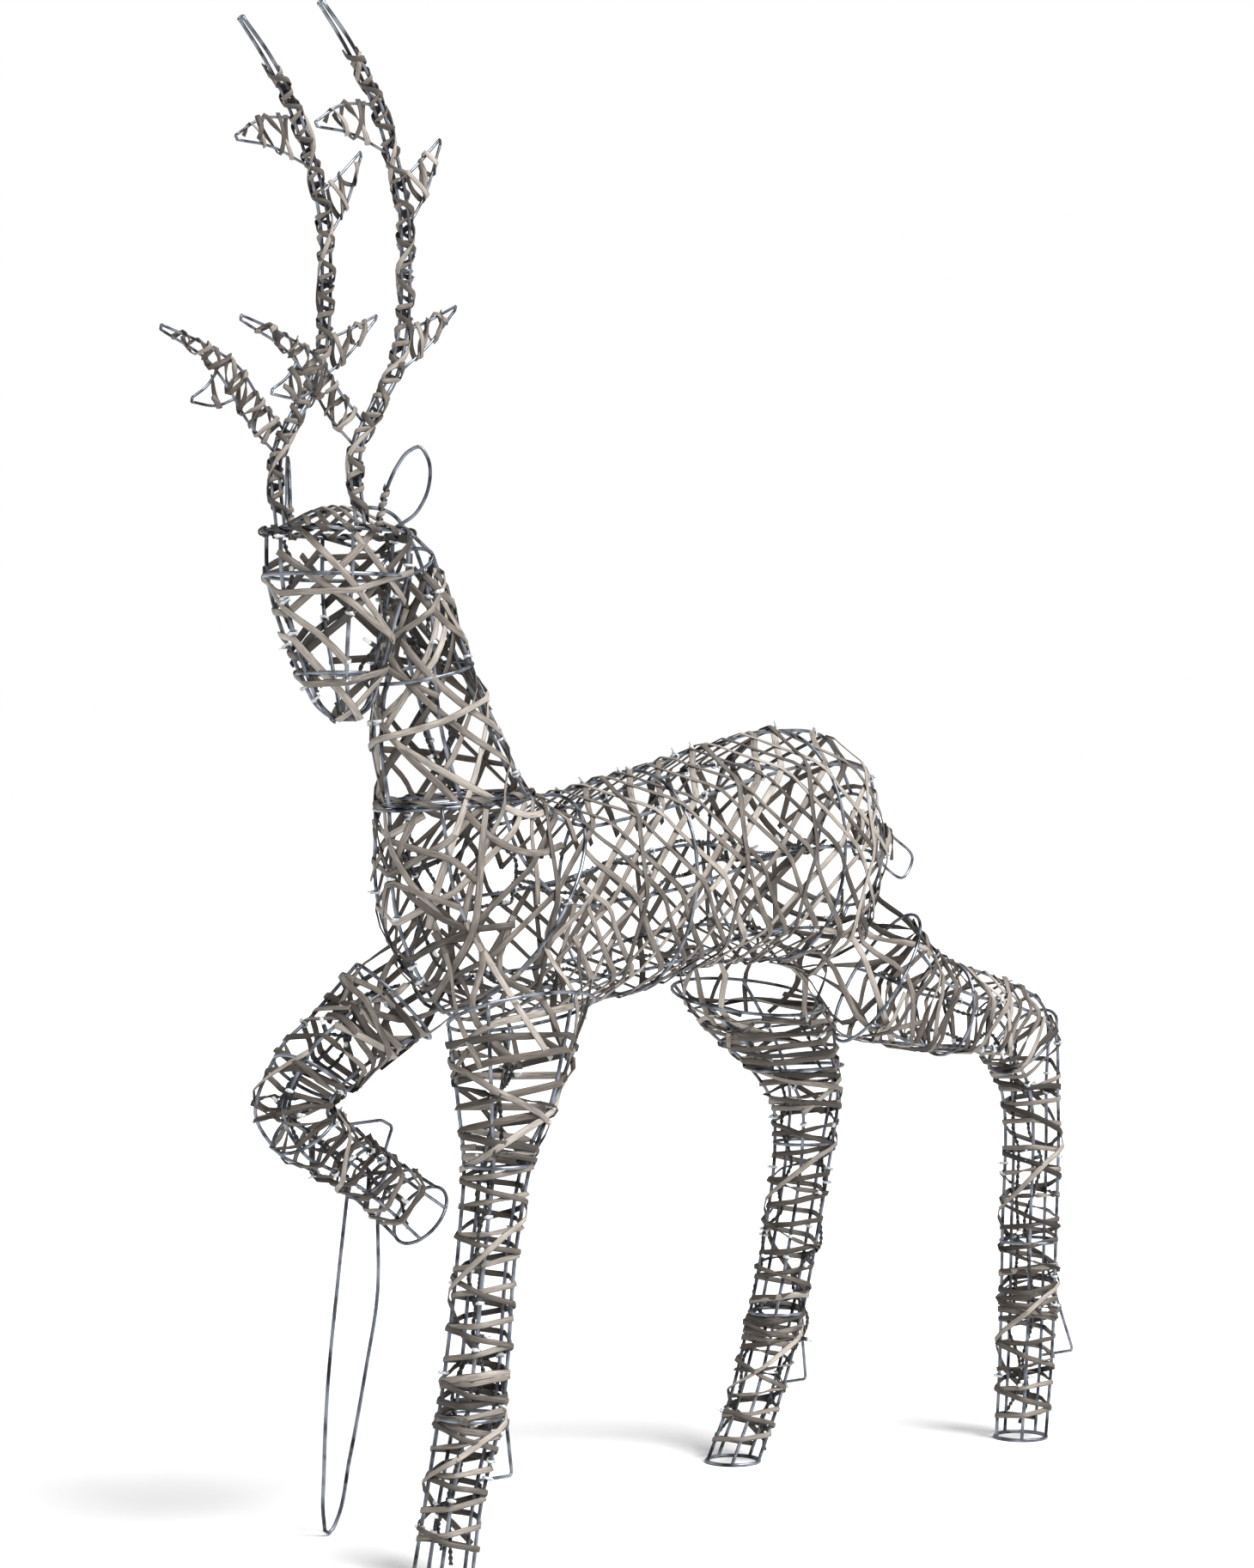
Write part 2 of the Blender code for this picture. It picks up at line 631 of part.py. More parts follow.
clear_scene()
PARTS = collection("reindeer")
CUTTERS = collection("reindeer_welded_wires")
ROOT = bpy.data.objects.new("reindeer", None)
PARTS.objects.link(ROOT)
trunk()
neck_rows, head_rows = head_and_neck()
front_left_leg()
hind_left_leg()
hind_right_leg()
raised_rows = raised_leg()
prop(raised_rows)
antler("antler_left", -1)
antler("antler_right", 1)
ear("ear_left", -1, head_rows[-1])
ear("ear_right", 1, head_rows[-1])
tail()
PARTS.objects.unlink(ROOT)
bpy.context.scene.collection.objects.link(ROOT)
stand_on_origin()
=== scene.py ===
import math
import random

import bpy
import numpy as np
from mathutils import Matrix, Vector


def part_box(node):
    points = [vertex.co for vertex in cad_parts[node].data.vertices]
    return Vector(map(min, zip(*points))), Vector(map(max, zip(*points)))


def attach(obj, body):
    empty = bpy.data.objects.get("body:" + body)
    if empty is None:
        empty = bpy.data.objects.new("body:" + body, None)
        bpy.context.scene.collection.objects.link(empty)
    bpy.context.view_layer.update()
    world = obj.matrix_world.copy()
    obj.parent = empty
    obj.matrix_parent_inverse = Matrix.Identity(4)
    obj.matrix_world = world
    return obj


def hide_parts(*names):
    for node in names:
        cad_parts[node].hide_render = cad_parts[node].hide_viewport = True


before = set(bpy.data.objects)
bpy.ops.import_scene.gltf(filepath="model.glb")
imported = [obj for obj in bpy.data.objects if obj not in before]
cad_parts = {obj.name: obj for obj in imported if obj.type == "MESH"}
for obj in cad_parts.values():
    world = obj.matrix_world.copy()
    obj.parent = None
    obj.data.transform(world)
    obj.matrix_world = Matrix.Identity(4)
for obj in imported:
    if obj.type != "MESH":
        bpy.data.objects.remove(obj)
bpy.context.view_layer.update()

# %% [markdown]
# # A light-up reindeer of wire and rattan
# The figure is a set of welded wire cages, one for each limb, wound with flat rattan strip and tied
# together. A dark light string runs inside. The CAD has the true cages, with square wires and a few
# strips on each; here every cage is drawn again with round wire and wound as a weaver winds it. Each
# piece is one mesh of lines swept along paths. Curve objects could be bevelled instead, but a mesh
# built point by point lets a strip lie exactly on its cage.

# %% Stock sizes and the origin, in metres
WIRE = 0.0036
ANTLER_WIRE = 0.0030
STRIP_WIDTH = 0.0066
STRIP_THICK = 0.0014
SEAT = 0.55         # a strip's middle lies this share of its thickness off the wire
STRAND = 0.00115    # radius of one strand of the cable
TWIST = 0.011       # length in which the two strands turn once about each other
TIE_WIDTH = 0.0024
# stations are measured back from the front left foot and across from the middle plane
SHIFT = np.array([-0.39431, -0.01416, 0.0])

# %% [markdown]
# ## One cage, one surface
# Every limb is a row of oval rings with long wires through them. A strip pulled tight over such a
# cage touches only the wires, and runs straight from each to the next. So the cage is kept as a
# table of wire positions rather than as a mesh: a place on it is a length along the limb and a wire
# number, and the numbers between two wires lie on the straight line between them.


# %% The cage as a surface
def station(x, z, half_long, half_wide, y=0.0, lean=0.0, roll=0.0):
    """A level ring; lean tips it forward and roll sideways."""
    return (x, y, z), (half_long, 0.0, -half_long * lean), (0.0, half_wide, -half_wide * roll)


def span_station(upper, lower, half_wide, y=0.0, roll=0.0):
    """A ring between an upper and a lower place in the middle plane, each an (x, z)."""
    centre = ((upper[0] + lower[0]) / 2, y, (upper[1] + lower[1]) / 2)
    reach = ((upper[0] - lower[0]) / 2, 0.0, (upper[1] - lower[1]) / 2)
    return centre, reach, (0.0, half_wide, -half_wide * roll)


def smooth(knots, count):
    """Places at even steps along a smooth line through knots of any shape (k, ...)."""
    knots = np.asarray(knots, float)
    flat = knots.reshape(len(knots), -1, 3)
    gaps = np.linalg.norm(np.diff(flat, axis=0), axis=2).mean(axis=1)
    reach = np.concatenate([[0.0], np.cumsum(gaps)])
    slopes = np.diff(flat, axis=0) / gaps[:, None, None]
    pull = np.empty_like(flat)
    pull[0], pull[-1] = slopes[0], slopes[-1]
    for k in range(1, len(flat) - 1):
        before, after = gaps[k - 1], gaps[k]
        pull[k] = (slopes[k] * before + slopes[k - 1] * after) / (before + after)
    made = []
    for t in np.linspace(0.0, reach[-1], count):
        k = min(int(np.searchsorted(reach, t, side="right")) - 1, len(gaps) - 1)
        u = (t - reach[k]) / gaps[k]
        made.append((2 * u**3 - 3 * u**2 + 1) * flat[k] + (u**3 - 2 * u**2 + u) * gaps[k] * pull[k]
                    + (3 * u**2 - 2 * u**3) * flat[k + 1] + (u**3 - u**2) * gaps[k] * pull[k + 1])
    return np.array(made).reshape((count,) + knots.shape[1:]), reach


class Cage:
    """Wires through oval rings, with a place for every (length, wire number)."""

    def __init__(self, stations, wires, dense=72):
        self.stations = [tuple(np.array(part, float) for part in s) for s in stations]
        turns = [2 * math.pi * i / wires for i in range(wires)]
        rows = [[c + SHIFT + u * math.cos(a) + v * math.sin(a) for a in turns]
                for c, u, v in self.stations]
        self.count = wires
        self.table, self.reach = smooth(rows, dense)
        self.length = self.reach[-1]

    def at(self, s, a):
        """The place at the length s and the wire number a."""
        place = min(max(s / self.length, 0.0), 1.0) * (len(self.table) - 1)
        j = min(int(place), len(self.table) - 2)
        i = math.floor(a)
        low = self.table[j] * (1 - (place - j)) + self.table[j + 1] * (place - j)
        return low[i % self.count] * (1 - (a - i)) + low[(i + 1) % self.count] * (a - i)

    def centre(self, s):
        return sum(self.at(s, i) for i in range(self.count)) / self.count

    def normal(self, s, a):
        """The way straight out of the cage at a place."""
        step = 0.004
        along = self.at(s + step, a) - self.at(s - step, a)
        across = self.at(s, a + 0.5) - self.at(s, a - 0.5)
        out = np.cross(along, across)
        out /= np.linalg.norm(out) + 1e-12
        return out if out @ (self.at(s, a) - self.centre(s)) > 0 else -out

    def ring(self, k, steps=40):
        """Points round the oval of one station."""
        c, u, v = self.stations[k]
        turns = [2 * math.pi * i / steps for i in range(steps)]
        return [c + SHIFT + u * math.cos(a) + v * math.sin(a) for a in turns]


# %% [markdown]
# ## Sweeping a section along a line
# Wire, strip and cable are all one flat outline carried along a path. For a strip, the outline's
# thin way follows the normal of the cage, so the strip lies flat on it. Each swept line gets a UV: X
# runs round the outline and has a whole number added for each line, and Y is the length along it in
# metres, which is what the grain follows.


# %% Mesh builder
UV_EDGE = 0.05


class Builder:
    """Gathers swept lines into one mesh."""

    def __init__(self):
        self.points, self.faces, self.uvs, self.lines = [], [], [], 0

    def sweep(self, path, outline, normals=None, closed=False):
        """Carry an outline along a path, its y way along the normals."""
        path = np.asarray(path, float)
        n, k = len(path), len(outline)
        if closed:
            ways = np.roll(path, -1, axis=0) - np.roll(path, 1, axis=0)
        else:
            ways = np.gradient(path, axis=0)
        ways /= np.linalg.norm(ways, axis=1)[:, None] + 1e-12
        if normals is None:
            up = np.array([0.0, 0.0, 1.0]) if abs(ways[0][2]) < 0.9 else np.array([1.0, 0.0, 0.0])
            normals = []
            for way in ways:
                up = up - way * (up @ way)
                up /= np.linalg.norm(up)
                normals.append(up)
        normals = np.array(normals)
        normals = normals - ways * np.sum(normals * ways, axis=1)[:, None]
        normals /= np.linalg.norm(normals, axis=1)[:, None] + 1e-12
        sides = np.cross(ways, normals)
        first = len(self.points)
        for p, side, out in zip(path, sides, normals):
            self.points.extend(p + side * x + out * y for x, y in outline)
        reach = np.concatenate([[0.0], np.cumsum(np.linalg.norm(np.diff(path, axis=0), axis=1))])
        for j in range(n if closed else n - 1):
            here, there = first + j * k, first + ((j + 1) % n) * k
            low = reach[j]
            high = reach[(j + 1) % n] if j + 1 < n else reach[-1] + 0.01
            for a in range(k):
                b = (a + 1) % k
                self.faces.append((here + a, here + b, there + b, there + a))
                u0, u1 = [self.lines + UV_EDGE + (1 - 2 * UV_EDGE) * c / k for c in (a, a + 1)]
                self.uvs.extend([(u0, low), (u1, low), (u1, high), (u0, high)])
        if not closed:
            for start, order in ((first, -1), (first + (n - 1) * k, 1)):
                self.faces.append(tuple(range(start, start + k))[::order])
                self.uvs.extend([(self.lines + 0.5, 0.0)] * k)
        self.lines += 1

    def make(self, name, look, slot=None, stands_for=()):
        """One visible piece, in place of the CAD nodes that it stands for."""
        mesh = bpy.data.meshes.new(name)
        mesh.from_pydata([tuple(p) for p in self.points], [], self.faces)
        mesh.uv_layers.new(name="strip").data.foreach_set("uv", np.array(self.uvs, "f").ravel())
        mesh.polygons.foreach_set("use_smooth", [True] * len(mesh.polygons))
        mesh.materials.append(look)
        made = bpy.data.objects.new(name, mesh)
        bpy.context.scene.collection.objects.link(made)
        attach(made, "root")
        if stands_for:
            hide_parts(*stands_for)
        print(name, len(mesh.polygons), "faces")
        return made


def circle(radius, sides=8):
    return [(radius * math.cos(2 * math.pi * i / sides), radius * math.sin(2 * math.pi * i / sides))
            for i in range(sides)]


def flat_section(width, thick):
    """Outline of a rattan strip: flat, with rounded edges and a low crown."""
    w, t = width / 2, thick / 2
    return [(-w, 0.0), (-0.82 * w, 0.75 * t), (0.0, 1.15 * t), (0.82 * w, 0.75 * t), (w, 0.0),
            (0.82 * w, -0.75 * t), (0.0, -0.95 * t), (-0.82 * w, -0.75 * t)]


# %% [markdown]
# ## Materials
# Three stuffs make the figure: peeled rattan, drawn steel wire, and the plastic of the cable, the ties
# and the lamps. Painted images could colour them, but noise that follows the strip or the object has
# no seam and stays sharp close by. A few helpers keep the node trees short to read.


# %% Shader helpers
def new_look(name, roughness, metallic=0.0):
    look = bpy.data.materials.new(name)
    look.use_nodes = True
    shader = look.node_tree.nodes["Principled BSDF"]
    shader.inputs["Roughness"].default_value = roughness
    shader.inputs["Metallic"].default_value = metallic
    return look, shader


def feed(tree, socket, value):
    """Link a socket to another one, or set it to a plain value."""
    if isinstance(value, bpy.types.NodeSocket):
        tree.links.new(value, socket)
    else:
        socket.default_value = value


def calc(tree, operation, *values):
    node = tree.nodes.new("ShaderNodeMath")
    node.operation = operation
    for socket, value in zip(node.inputs, values):
        feed(tree, socket, value)
    return node.outputs[0]


def noise(tree, vector, scale, detail):
    node = tree.nodes.new("ShaderNodeTexNoise")
    for label, value in (("Vector", vector), ("Scale", scale), ("Detail", detail)):
        feed(tree, node.inputs[label], value)
    return node.outputs["Fac"]


def map_range(tree, value, **limits):
    """A map range node; its limits are given as To_Min, From_Max and so on."""
    node = tree.nodes.new("ShaderNodeMapRange")
    tree.links.new(value, node.inputs["Value"])
    for label, limit in limits.items():
        feed(tree, node.inputs[label.replace("_", " ")], limit)
    return node.outputs[0]


def ramp(tree, value, stops):
    node = tree.nodes.new("ShaderNodeValToRGB")
    while len(node.color_ramp.elements) < len(stops):
        node.color_ramp.elements.new(0.5)
    for element, (place, colour) in zip(node.color_ramp.elements, stops):
        element.position = place
        element.color = (*colour, 1.0)
    tree.links.new(value, node.inputs["Fac"])
    return node.outputs["Color"]


def mix_colours(tree, share, one, other, blend="MIX"):
    node = tree.nodes.new("ShaderNodeMix")
    node.data_type = "RGBA"
    node.blend_type = blend
    for place, value in ((0, share), (6, one), (7, other)):
        feed(tree, node.inputs[place], value)
    return node.outputs[2]


def new_group(name, inputs, outputs):
    """An empty node group with named sockets, and its input and output nodes."""
    tree = bpy.data.node_groups.new(name, "ShaderNodeTree")
    for way, labels in (("INPUT", inputs), ("OUTPUT", outputs)):
        for label, kind in labels.items():
            tree.interface.new_socket(label, in_out=way, socket_type="NodeSocket" + kind)
    return tree, tree.nodes.new("NodeGroupInput"), tree.nodes.new("NodeGroupOutput")


def place_group(look, shader, tree):
    """Put a group in a material and let it feed the colour and the roughness."""
    group = look.node_tree.nodes.new("ShaderNodeGroup")
    group.node_tree = tree
    look.node_tree.links.new(group.outputs["Colour"], shader.inputs["Base Color"])
    look.node_tree.links.new(group.outputs["Roughness"], shader.inputs["Roughness"])
    return group


# %% [markdown]
# ## Rattan
# The strip is peeled cane. Fibres run along it, and each length has a tone of its own. Its cut edges
# and its back, which faces into the cage, are darkened in the colour: partly dirt, partly painted shade.
# All of that comes from the strip's UV, which every strip carries with it: the whole part of X picks
# the tone, the rest of X tells face, edge and back apart, and Y runs along the fibres. A slow noise on
# the object adds the patches of weather.


# %% Rattan
def grain_and_shade_group():
    tree, _, out = new_group("rattan_grain_and_shade", {}, {"Colour": "Color", "Roughness": "Float",
                                                  "Height": "Float"})
    uv = tree.nodes.new("ShaderNodeUVMap")
    uv.uv_map = "strip"
    split = tree.nodes.new("ShaderNodeSeparateXYZ")
    tree.links.new(uv.outputs["UV"], split.inputs[0])
    across = split.outputs["X"]
    tone = tree.nodes.new("ShaderNodeTexWhiteNoise")
    tone.noise_dimensions = "1D"
    tree.links.new(calc(tree, "FLOOR", across), tone.inputs["W"])
    stretch = tree.nodes.new("ShaderNodeMapping")
    stretch.inputs["Scale"].default_value = (9.0, 14.0, 1.0)
    tree.links.new(uv.outputs["UV"], stretch.inputs["Vector"])
    fibre = noise(tree, stretch.outputs[0], 4.0, 5.0)
    where = tree.nodes.new("ShaderNodeTexCoord")
    patch = noise(tree, where.outputs["Object"], 26.0, 3.0)
    own = calc(tree, "MULTIPLY", tone.outputs["Value"], 0.30)
    total = calc(tree, "MULTIPLY_ADD", patch, 0.30, calc(tree, "MULTIPLY_ADD", fibre, 0.55, own))
    face = ramp(tree, total, [(0.30, (0.010, 0.008, 0.006)), (0.46, (0.062, 0.051, 0.043)),
                              (0.62, (0.200, 0.174, 0.151)), (0.80, (0.440, 0.400, 0.360))])
    # Painted shade, partly dirt: the strip's cut edges and its back, which faces into the cage, are
    # darkened.
    dirt_and_painted_shade = ramp(tree, calc(tree, "FRACT", across), [
        (0.06, (0.20, 0.18, 0.16)), (0.17, (1.0, 1.0, 1.0)), (0.38, (1.0, 1.0, 1.0)),
        (0.49, (0.20, 0.18, 0.16)), (0.60, (0.30, 0.27, 0.25))])
    tree.links.new(mix_colours(tree, 1.0, face, dirt_and_painted_shade, "MULTIPLY"), out.inputs["Colour"])
    tree.links.new(map_range(tree, fibre, To_Min=0.52, To_Max=0.80), out.inputs["Roughness"])
    tree.links.new(fibre, out.inputs["Height"])
    return tree


def rattan():
    look, shader = new_look("rattan", 0.7)
    grain = place_group(look, shader, grain_and_shade_group())
    relief = look.node_tree.nodes.new("ShaderNodeBump")
    relief.inputs["Strength"].default_value = 0.6
    relief.inputs["Distance"].default_value = 0.0006
    look.node_tree.links.new(grain.outputs["Height"], relief.inputs["Height"])
    look.node_tree.links.new(relief.outputs["Normal"], shader.inputs["Normal"])
    return look


RATTAN = rattan()

# %% [markdown]
# ## Steel and plastic
# The wire is dull grey, a little blue, with darker patches where it is handled and welded. The cable
# is nearly black, the ties are pale nylon and the lamps milky. What they share is a colour and a
# roughness that wander over the surface between two ends, so that is one node group, placed in each
# material with its own values.


# %% Steel and plastic
def mottle_group():
    tree, given, out = new_group(
        "mottle", {"Scale": "Float", "Dark": "Color", "Light": "Color", "Dark Below": "Float",
                   "Light Above": "Float", "Least Roughness": "Float", "Most Roughness": "Float"},
        {"Colour": "Color", "Roughness": "Float"})
    given = given.outputs
    where = tree.nodes.new("ShaderNodeTexCoord")
    patch = noise(tree, where.outputs["Object"], given["Scale"], 4.0)
    share = map_range(tree, patch, From_Min=given["Dark Below"], From_Max=given["Light Above"])
    tree.links.new(mix_colours(tree, share, given["Dark"], given["Light"]), out.inputs["Colour"])
    rough = map_range(tree, patch, To_Min=given["Least Roughness"], To_Max=given["Most Roughness"])
    tree.links.new(rough, out.inputs["Roughness"])
    return tree


MOTTLE = mottle_group()


def mottled(name, dark, light, limits, scale, roughness, metallic=0.0):
    """A material between two colours, which noise of this scale reaches at its two limits."""
    look, shader = new_look(name, sum(roughness) / 2, metallic)
    group = place_group(look, shader, MOTTLE)
    for label, value in (("Scale", scale), ("Dark", (*dark, 1.0)), ("Light", (*light, 1.0)),
                         ("Dark Below", limits[0]), ("Light Above", limits[1]),
                         ("Least Roughness", roughness[0]), ("Most Roughness", roughness[1])):
        group.inputs[label].default_value = value
    return look


STEEL = mottled("steel", (0.018, 0.020, 0.026), (0.235, 0.255, 0.295), (0.36, 0.62), 55.0,
                (0.26, 0.46), metallic=0.75)
SHEATH = mottled("sheath", (0.010, 0.011, 0.011), (0.024, 0.025, 0.024), (0.3, 0.7), 90.0, (0.35, 0.55))
NYLON = mottled("nylon", (0.46, 0.49, 0.51), (0.62, 0.64, 0.65), (0.3, 0.7), 70.0, (0.35, 0.50))
LENS = mottled("lens", (0.70, 0.72, 0.72), (0.86, 0.87, 0.86), (0.3, 0.7), 120.0, (0.08, 0.18))
print("materials", [look.name for look in (RATTAN, STEEL, SHEATH, NYLON, LENS)])

# %% [markdown]
# ## The cages of the figure
# The stations are those of the CAD: for each ring its middle, its half length and its half width.
# The welded rings set the shape of the real frame in the same way, and few of them are enough, since
# the wires run smoothly from one to the next. The figure faces -X and its left side is -Y.

# %% Stations
LEG_SIDE, RAISED_SIDE, SHANK = 0.075, 0.122, 0.0275
TRUNK = Cage([
    span_station((0.704, 0.690), (0.698, 0.574), 0.042),
    span_station((0.664, 0.744), (0.652, 0.512), 0.074),
    span_station((0.575, 0.754), (0.575, 0.522), 0.088),
    span_station((0.460, 0.736), (0.455, 0.521), 0.087),
    span_station((0.350, 0.713), (0.330, 0.498), 0.087),
    span_station((0.275, 0.698), (0.200, 0.490), 0.089),
    span_station((0.228, 0.690), (0.082, 0.494), 0.086),
    span_station((0.198, 0.688), (0.020, 0.580), 0.070),
    span_station((0.179, 0.690), (0.010, 0.676), 0.058),
], 8)
NECK = Cage([
    span_station((0.180, 0.694), (0.010, 0.680), 0.057),
    span_station((0.139, 0.757), (0.000, 0.738), 0.049),
    span_station((0.101, 0.812), (0.006, 0.789), 0.043),
    span_station((0.071, 0.862), (0.020, 0.834), 0.037),
    span_station((0.044, 0.912), (0.022, 0.886), 0.030),
], 6)
HEAD = Cage([
    station(-0.048, 0.757, 0.010, 0.008),
    station(-0.048, 0.768, 0.027, 0.021),
    station(-0.052, 0.797, 0.042, 0.033),
    station(-0.056, 0.838, 0.056, 0.048),
    station(-0.056, 0.882, 0.068, 0.060),
    station(-0.055, 0.921, 0.070, 0.062),
], 6)
left, right = -LEG_SIDE, LEG_SIDE
LEGS = {
    "front_left_leg": Cage([
        station(0.000, 0.0018, SHANK, SHANK, left),
        station(0.015, 0.070, 0.0260, 0.0260, left),
        station(0.036, 0.140, 0.0295, 0.0285, left),
        station(0.061, 0.300, SHANK, SHANK, left),
        station(0.073, 0.360, 0.0330, 0.0300, left),
        station(0.090, 0.415, 0.0600, 0.0340, left, roll=0.10),
        station(0.104, 0.495, 0.0880, 0.0400, left, roll=0.47),
    ], 5),
    "hind_left_leg": Cage([
        station(0.907, 0.0018, SHANK, SHANK, left),
        station(0.916, 0.087, 0.0290, 0.0290, left),
        station(0.919, 0.210, 0.0300, 0.0300, left - 0.002),
        station(0.918, 0.370, 0.0320, 0.0310, left - 0.004),
        station(0.904, 0.425, 0.0420, 0.0330, left - 0.005, lean=-0.75),
        span_station((0.852, 0.495), (0.838, 0.412), 0.0340, left - 0.003),
        span_station((0.778, 0.514), (0.760, 0.418), 0.0370, left + 0.003),
        span_station((0.745, 0.538), (0.682, 0.425), 0.0390, left + 0.010),
        span_station((0.722, 0.564), (0.620, 0.440), 0.0400, left + 0.018, roll=0.30),
    ], 5),
    "hind_right_leg": Cage([
        station(0.600, 0.0018, SHANK, SHANK, right),
        station(0.636, 0.060, 0.0270, 0.0270, right),
        station(0.673, 0.147, 0.0285, 0.0285, right),
        station(0.700, 0.232, 0.0290, 0.0290, right),
        station(0.721, 0.321, 0.0330, 0.0310, right),
        station(0.723, 0.362, 0.0410, 0.0330, right - 0.002),
        station(0.702, 0.402, 0.0650, 0.0350, right - 0.006),
        station(0.652, 0.443, 0.1010, 0.0370, right - 0.013, roll=-0.20),
        station(0.602, 0.481, 0.1170, 0.0390, right - 0.020, lean=0.06, roll=-0.45),
    ], 5),
    "front_right_leg": Cage([
        ((0.180, RAISED_SIDE, 0.290), (0.021, 0, 0.025), (0, 0.028, 0)),
        ((0.144, RAISED_SIDE, 0.313), (0.015, 0, 0.024), (0, 0.026, 0)),
        ((0.106, RAISED_SIDE, 0.337), (0.015, 0, 0.022), (0, 0.026, 0)),
        ((0.061, RAISED_SIDE, 0.363), (0.017, 0, 0.024), (0, 0.028, 0)),
        ((0.023, RAISED_SIDE - 0.002, 0.384), (0.027, 0, 0.021), (0, 0.030, 0)),
        ((0.007, RAISED_SIDE - 0.006, 0.401), (0.040, 0, 0.003), (0, 0.031, 0)),
        ((0.018, RAISED_SIDE - 0.014, 0.432), (0.032, 0, -0.022), (0, 0.033, 0)),
        ((0.052, RAISED_SIDE - 0.028, 0.462), (0.028, 0, -0.032), (0, 0.036, 0)),
        ((0.103, RAISED_SIDE - 0.038, 0.498), (0.033, 0, -0.030), (0, 0.036, 0.018)),
    ], 5),
}
for name, cage in {"trunk": TRUNK, "neck": NECK, "head": HEAD, **LEGS}.items():
    print(name, "length", round(cage.length, 3))


# %% [markdown]
# ## Wires
# The frame is drawn steel wire, bent to shape and spot-welded where it crosses. A wireframe modifier
# on a tube would give wires too, but of one thickness everywhere and only along its edges. A round
# outline swept along each long wire and each ring keeps the rings true ovals. A dewclaw is a wire
# bent sharply out of the leg and back, so its corners get knots close on both sides.


# %% Wire frames
def add_wires(into, cage, rings, diameter=WIRE):
    for i in range(cage.count):
        into.sweep(cage.table[:, i], circle(diameter / 2))
    for k in rings:
        into.sweep(cage.ring(k), circle(diameter / 2), closed=True)


def add_line(into, points, diameter, steps=40):
    """A single wire through points that are measured as the stations are."""
    path, _ = smooth([np.array(p, float) + SHIFT for p in points], steps)
    into.sweep(path, circle(diameter / 2))
    return path


def bent(points, radius=0.003):
    """Knots for a wire bent sharply: two on each side of a corner keep its arms straight."""
    points = [np.array(p, float) for p in points]
    made = [points[0]]
    for before, corner, after in zip(points, points[1:], points[2:]):
        for end, far in ((before, 2), (before, 1), (after, 1), (after, 2)):
            made.append(corner + (end - corner) / np.linalg.norm(end - corner) * radius * far)
    return made + [points[-1]]


# %% Trunk, neck and head wires
body_wires = Builder()
add_wires(body_wires, TRUNK, (0, 2, 4, 6, 8))
body_wires.make("body_wires", STEEL, "steel_wire", ["body_frame"])

head_wires = Builder()
add_wires(head_wires, NECK, (0, 2, 4))
add_wires(head_wires, HEAD, (0, 2, 4, 5))
nape = NECK.table[-1] - SHIFT
crown = HEAD.table[-1] - SHIFT
add_line(head_wires, [nape[0], (0.020, 0.0, 0.938), (-0.055, 0.0, 0.941), crown[3]], WIRE)
add_line(head_wires, [nape[1], crown[1]], WIRE, steps=8)
add_line(head_wires, [nape[5], crown[5]], WIRE, steps=8)
head_wires.make("head_and_neck_wires", STEEL, "steel_wire", ["head_and_neck_frame"])

# %% Leg wires
CLAW_FOOT, CLAW_TOP, CLAW_DROP = 0.082, 0.190, 0.002
DEWCLAWS = {"front_left_leg": 0.046, "hind_left_leg": 0.064, "hind_right_leg": 0.055}
RAISED_CLAW = (0.076, 0.132)
THIN_WIRE = WIRE * 0.9
for name, cage in LEGS.items():
    wires = Builder()
    add_wires(wires, cage, range(0, len(cage.stations), 2))
    if name in DEWCLAWS:
        low, high = [cage.at(s, 0) - SHIFT for s in (CLAW_FOOT, CLAW_TOP)]
        corners = [low + np.array([DEWCLAWS[name], 0.0, -CLAW_DROP])]
    else:
        low, high = [cage.at(s, 0) - SHIFT for s in RAISED_CLAW]
        corners = [high + np.array([0.043, 0.0, 0.001]), low + np.array([0.011, 0.0, 0.024])]
    add_line(wires, bent([high, *corners, low]), THIN_WIRE, steps=60)
    wires.make(name + "_wires", STEEL, "steel_wire", [name + "_frame"])


# %% [markdown]
# ## Winding the rattan
# The rattan is pulled tight and tied off, so it lies straight from wire to wire. Strips scattered by
# chance would float between the wires; a strip worked out from the cage touches every wire that it
# passes. The first way of winding goes round and round: the strip starts on one wire and
# climbs a little from each wire to the next. No two strips climb alike, so each gets its own pitch and
# a slow wander. Layers lie one on another: each is a strip's thickness further out.


# %% Round and round
def lay_strip(into, path, normals, width=STRIP_WIDTH, count=None):
    """Sweep the strip's section along a smooth line through a path, its face along the normals."""
    count = count or len(path) * 2 - 1
    line, _ = smooth(np.array(path), count)
    tilt, _ = smooth(np.array(normals), count)
    into.sweep(line, flat_section(width, STRIP_THICK), tilt)


def wind(into, cage, start, pitch, hand, low, high, rng, wire=WIRE, width=STRIP_WIDTH,
         layer=0, loose=0.0012):
    """One strip from wire number start, climbing pitch metres a turn between two lengths."""
    path, normals = [], []
    clear = wire / 2 + STRIP_THICK * (SEAT + layer)
    drift, phase = rng.uniform(0.04, 0.14), rng.uniform(0.0, 6.3)
    k = 0
    while True:
        a = start + hand * k * 0.5
        turns = k * 0.5 / cage.count
        s = low + pitch * (turns + drift * math.sin(turns * 4.0 + phase) - drift * math.sin(phase))
        if s > high:
            break
        out = cage.normal(s, a)
        slack = rng.uniform(-loose, loose) if k % 2 else 0.0
        path.append(cage.at(s, a) + out * (clear + slack))
        normals.append(out)
        k += 1
    if len(path) > 3:
        lay_strip(into, path, normals, width * rng.uniform(0.86, 1.06))


def family(into, cage, starts, pitch, hand, rng, low=0.0, high=None, spread=0.18, **options):
    """Several strips side by side round a cage, all climbing about alike."""
    high = cage.length if high is None else high
    for j in range(starts):
        begin = low + rng.uniform(0.0, 0.012)
        first = round(j * cage.count / starts + rng.uniform(-0.4, 0.4))
        wind(into, cage, first, pitch * (1 + rng.uniform(-spread, spread)), hand, begin,
             high - rng.uniform(0.0, 0.012), rng, **options)


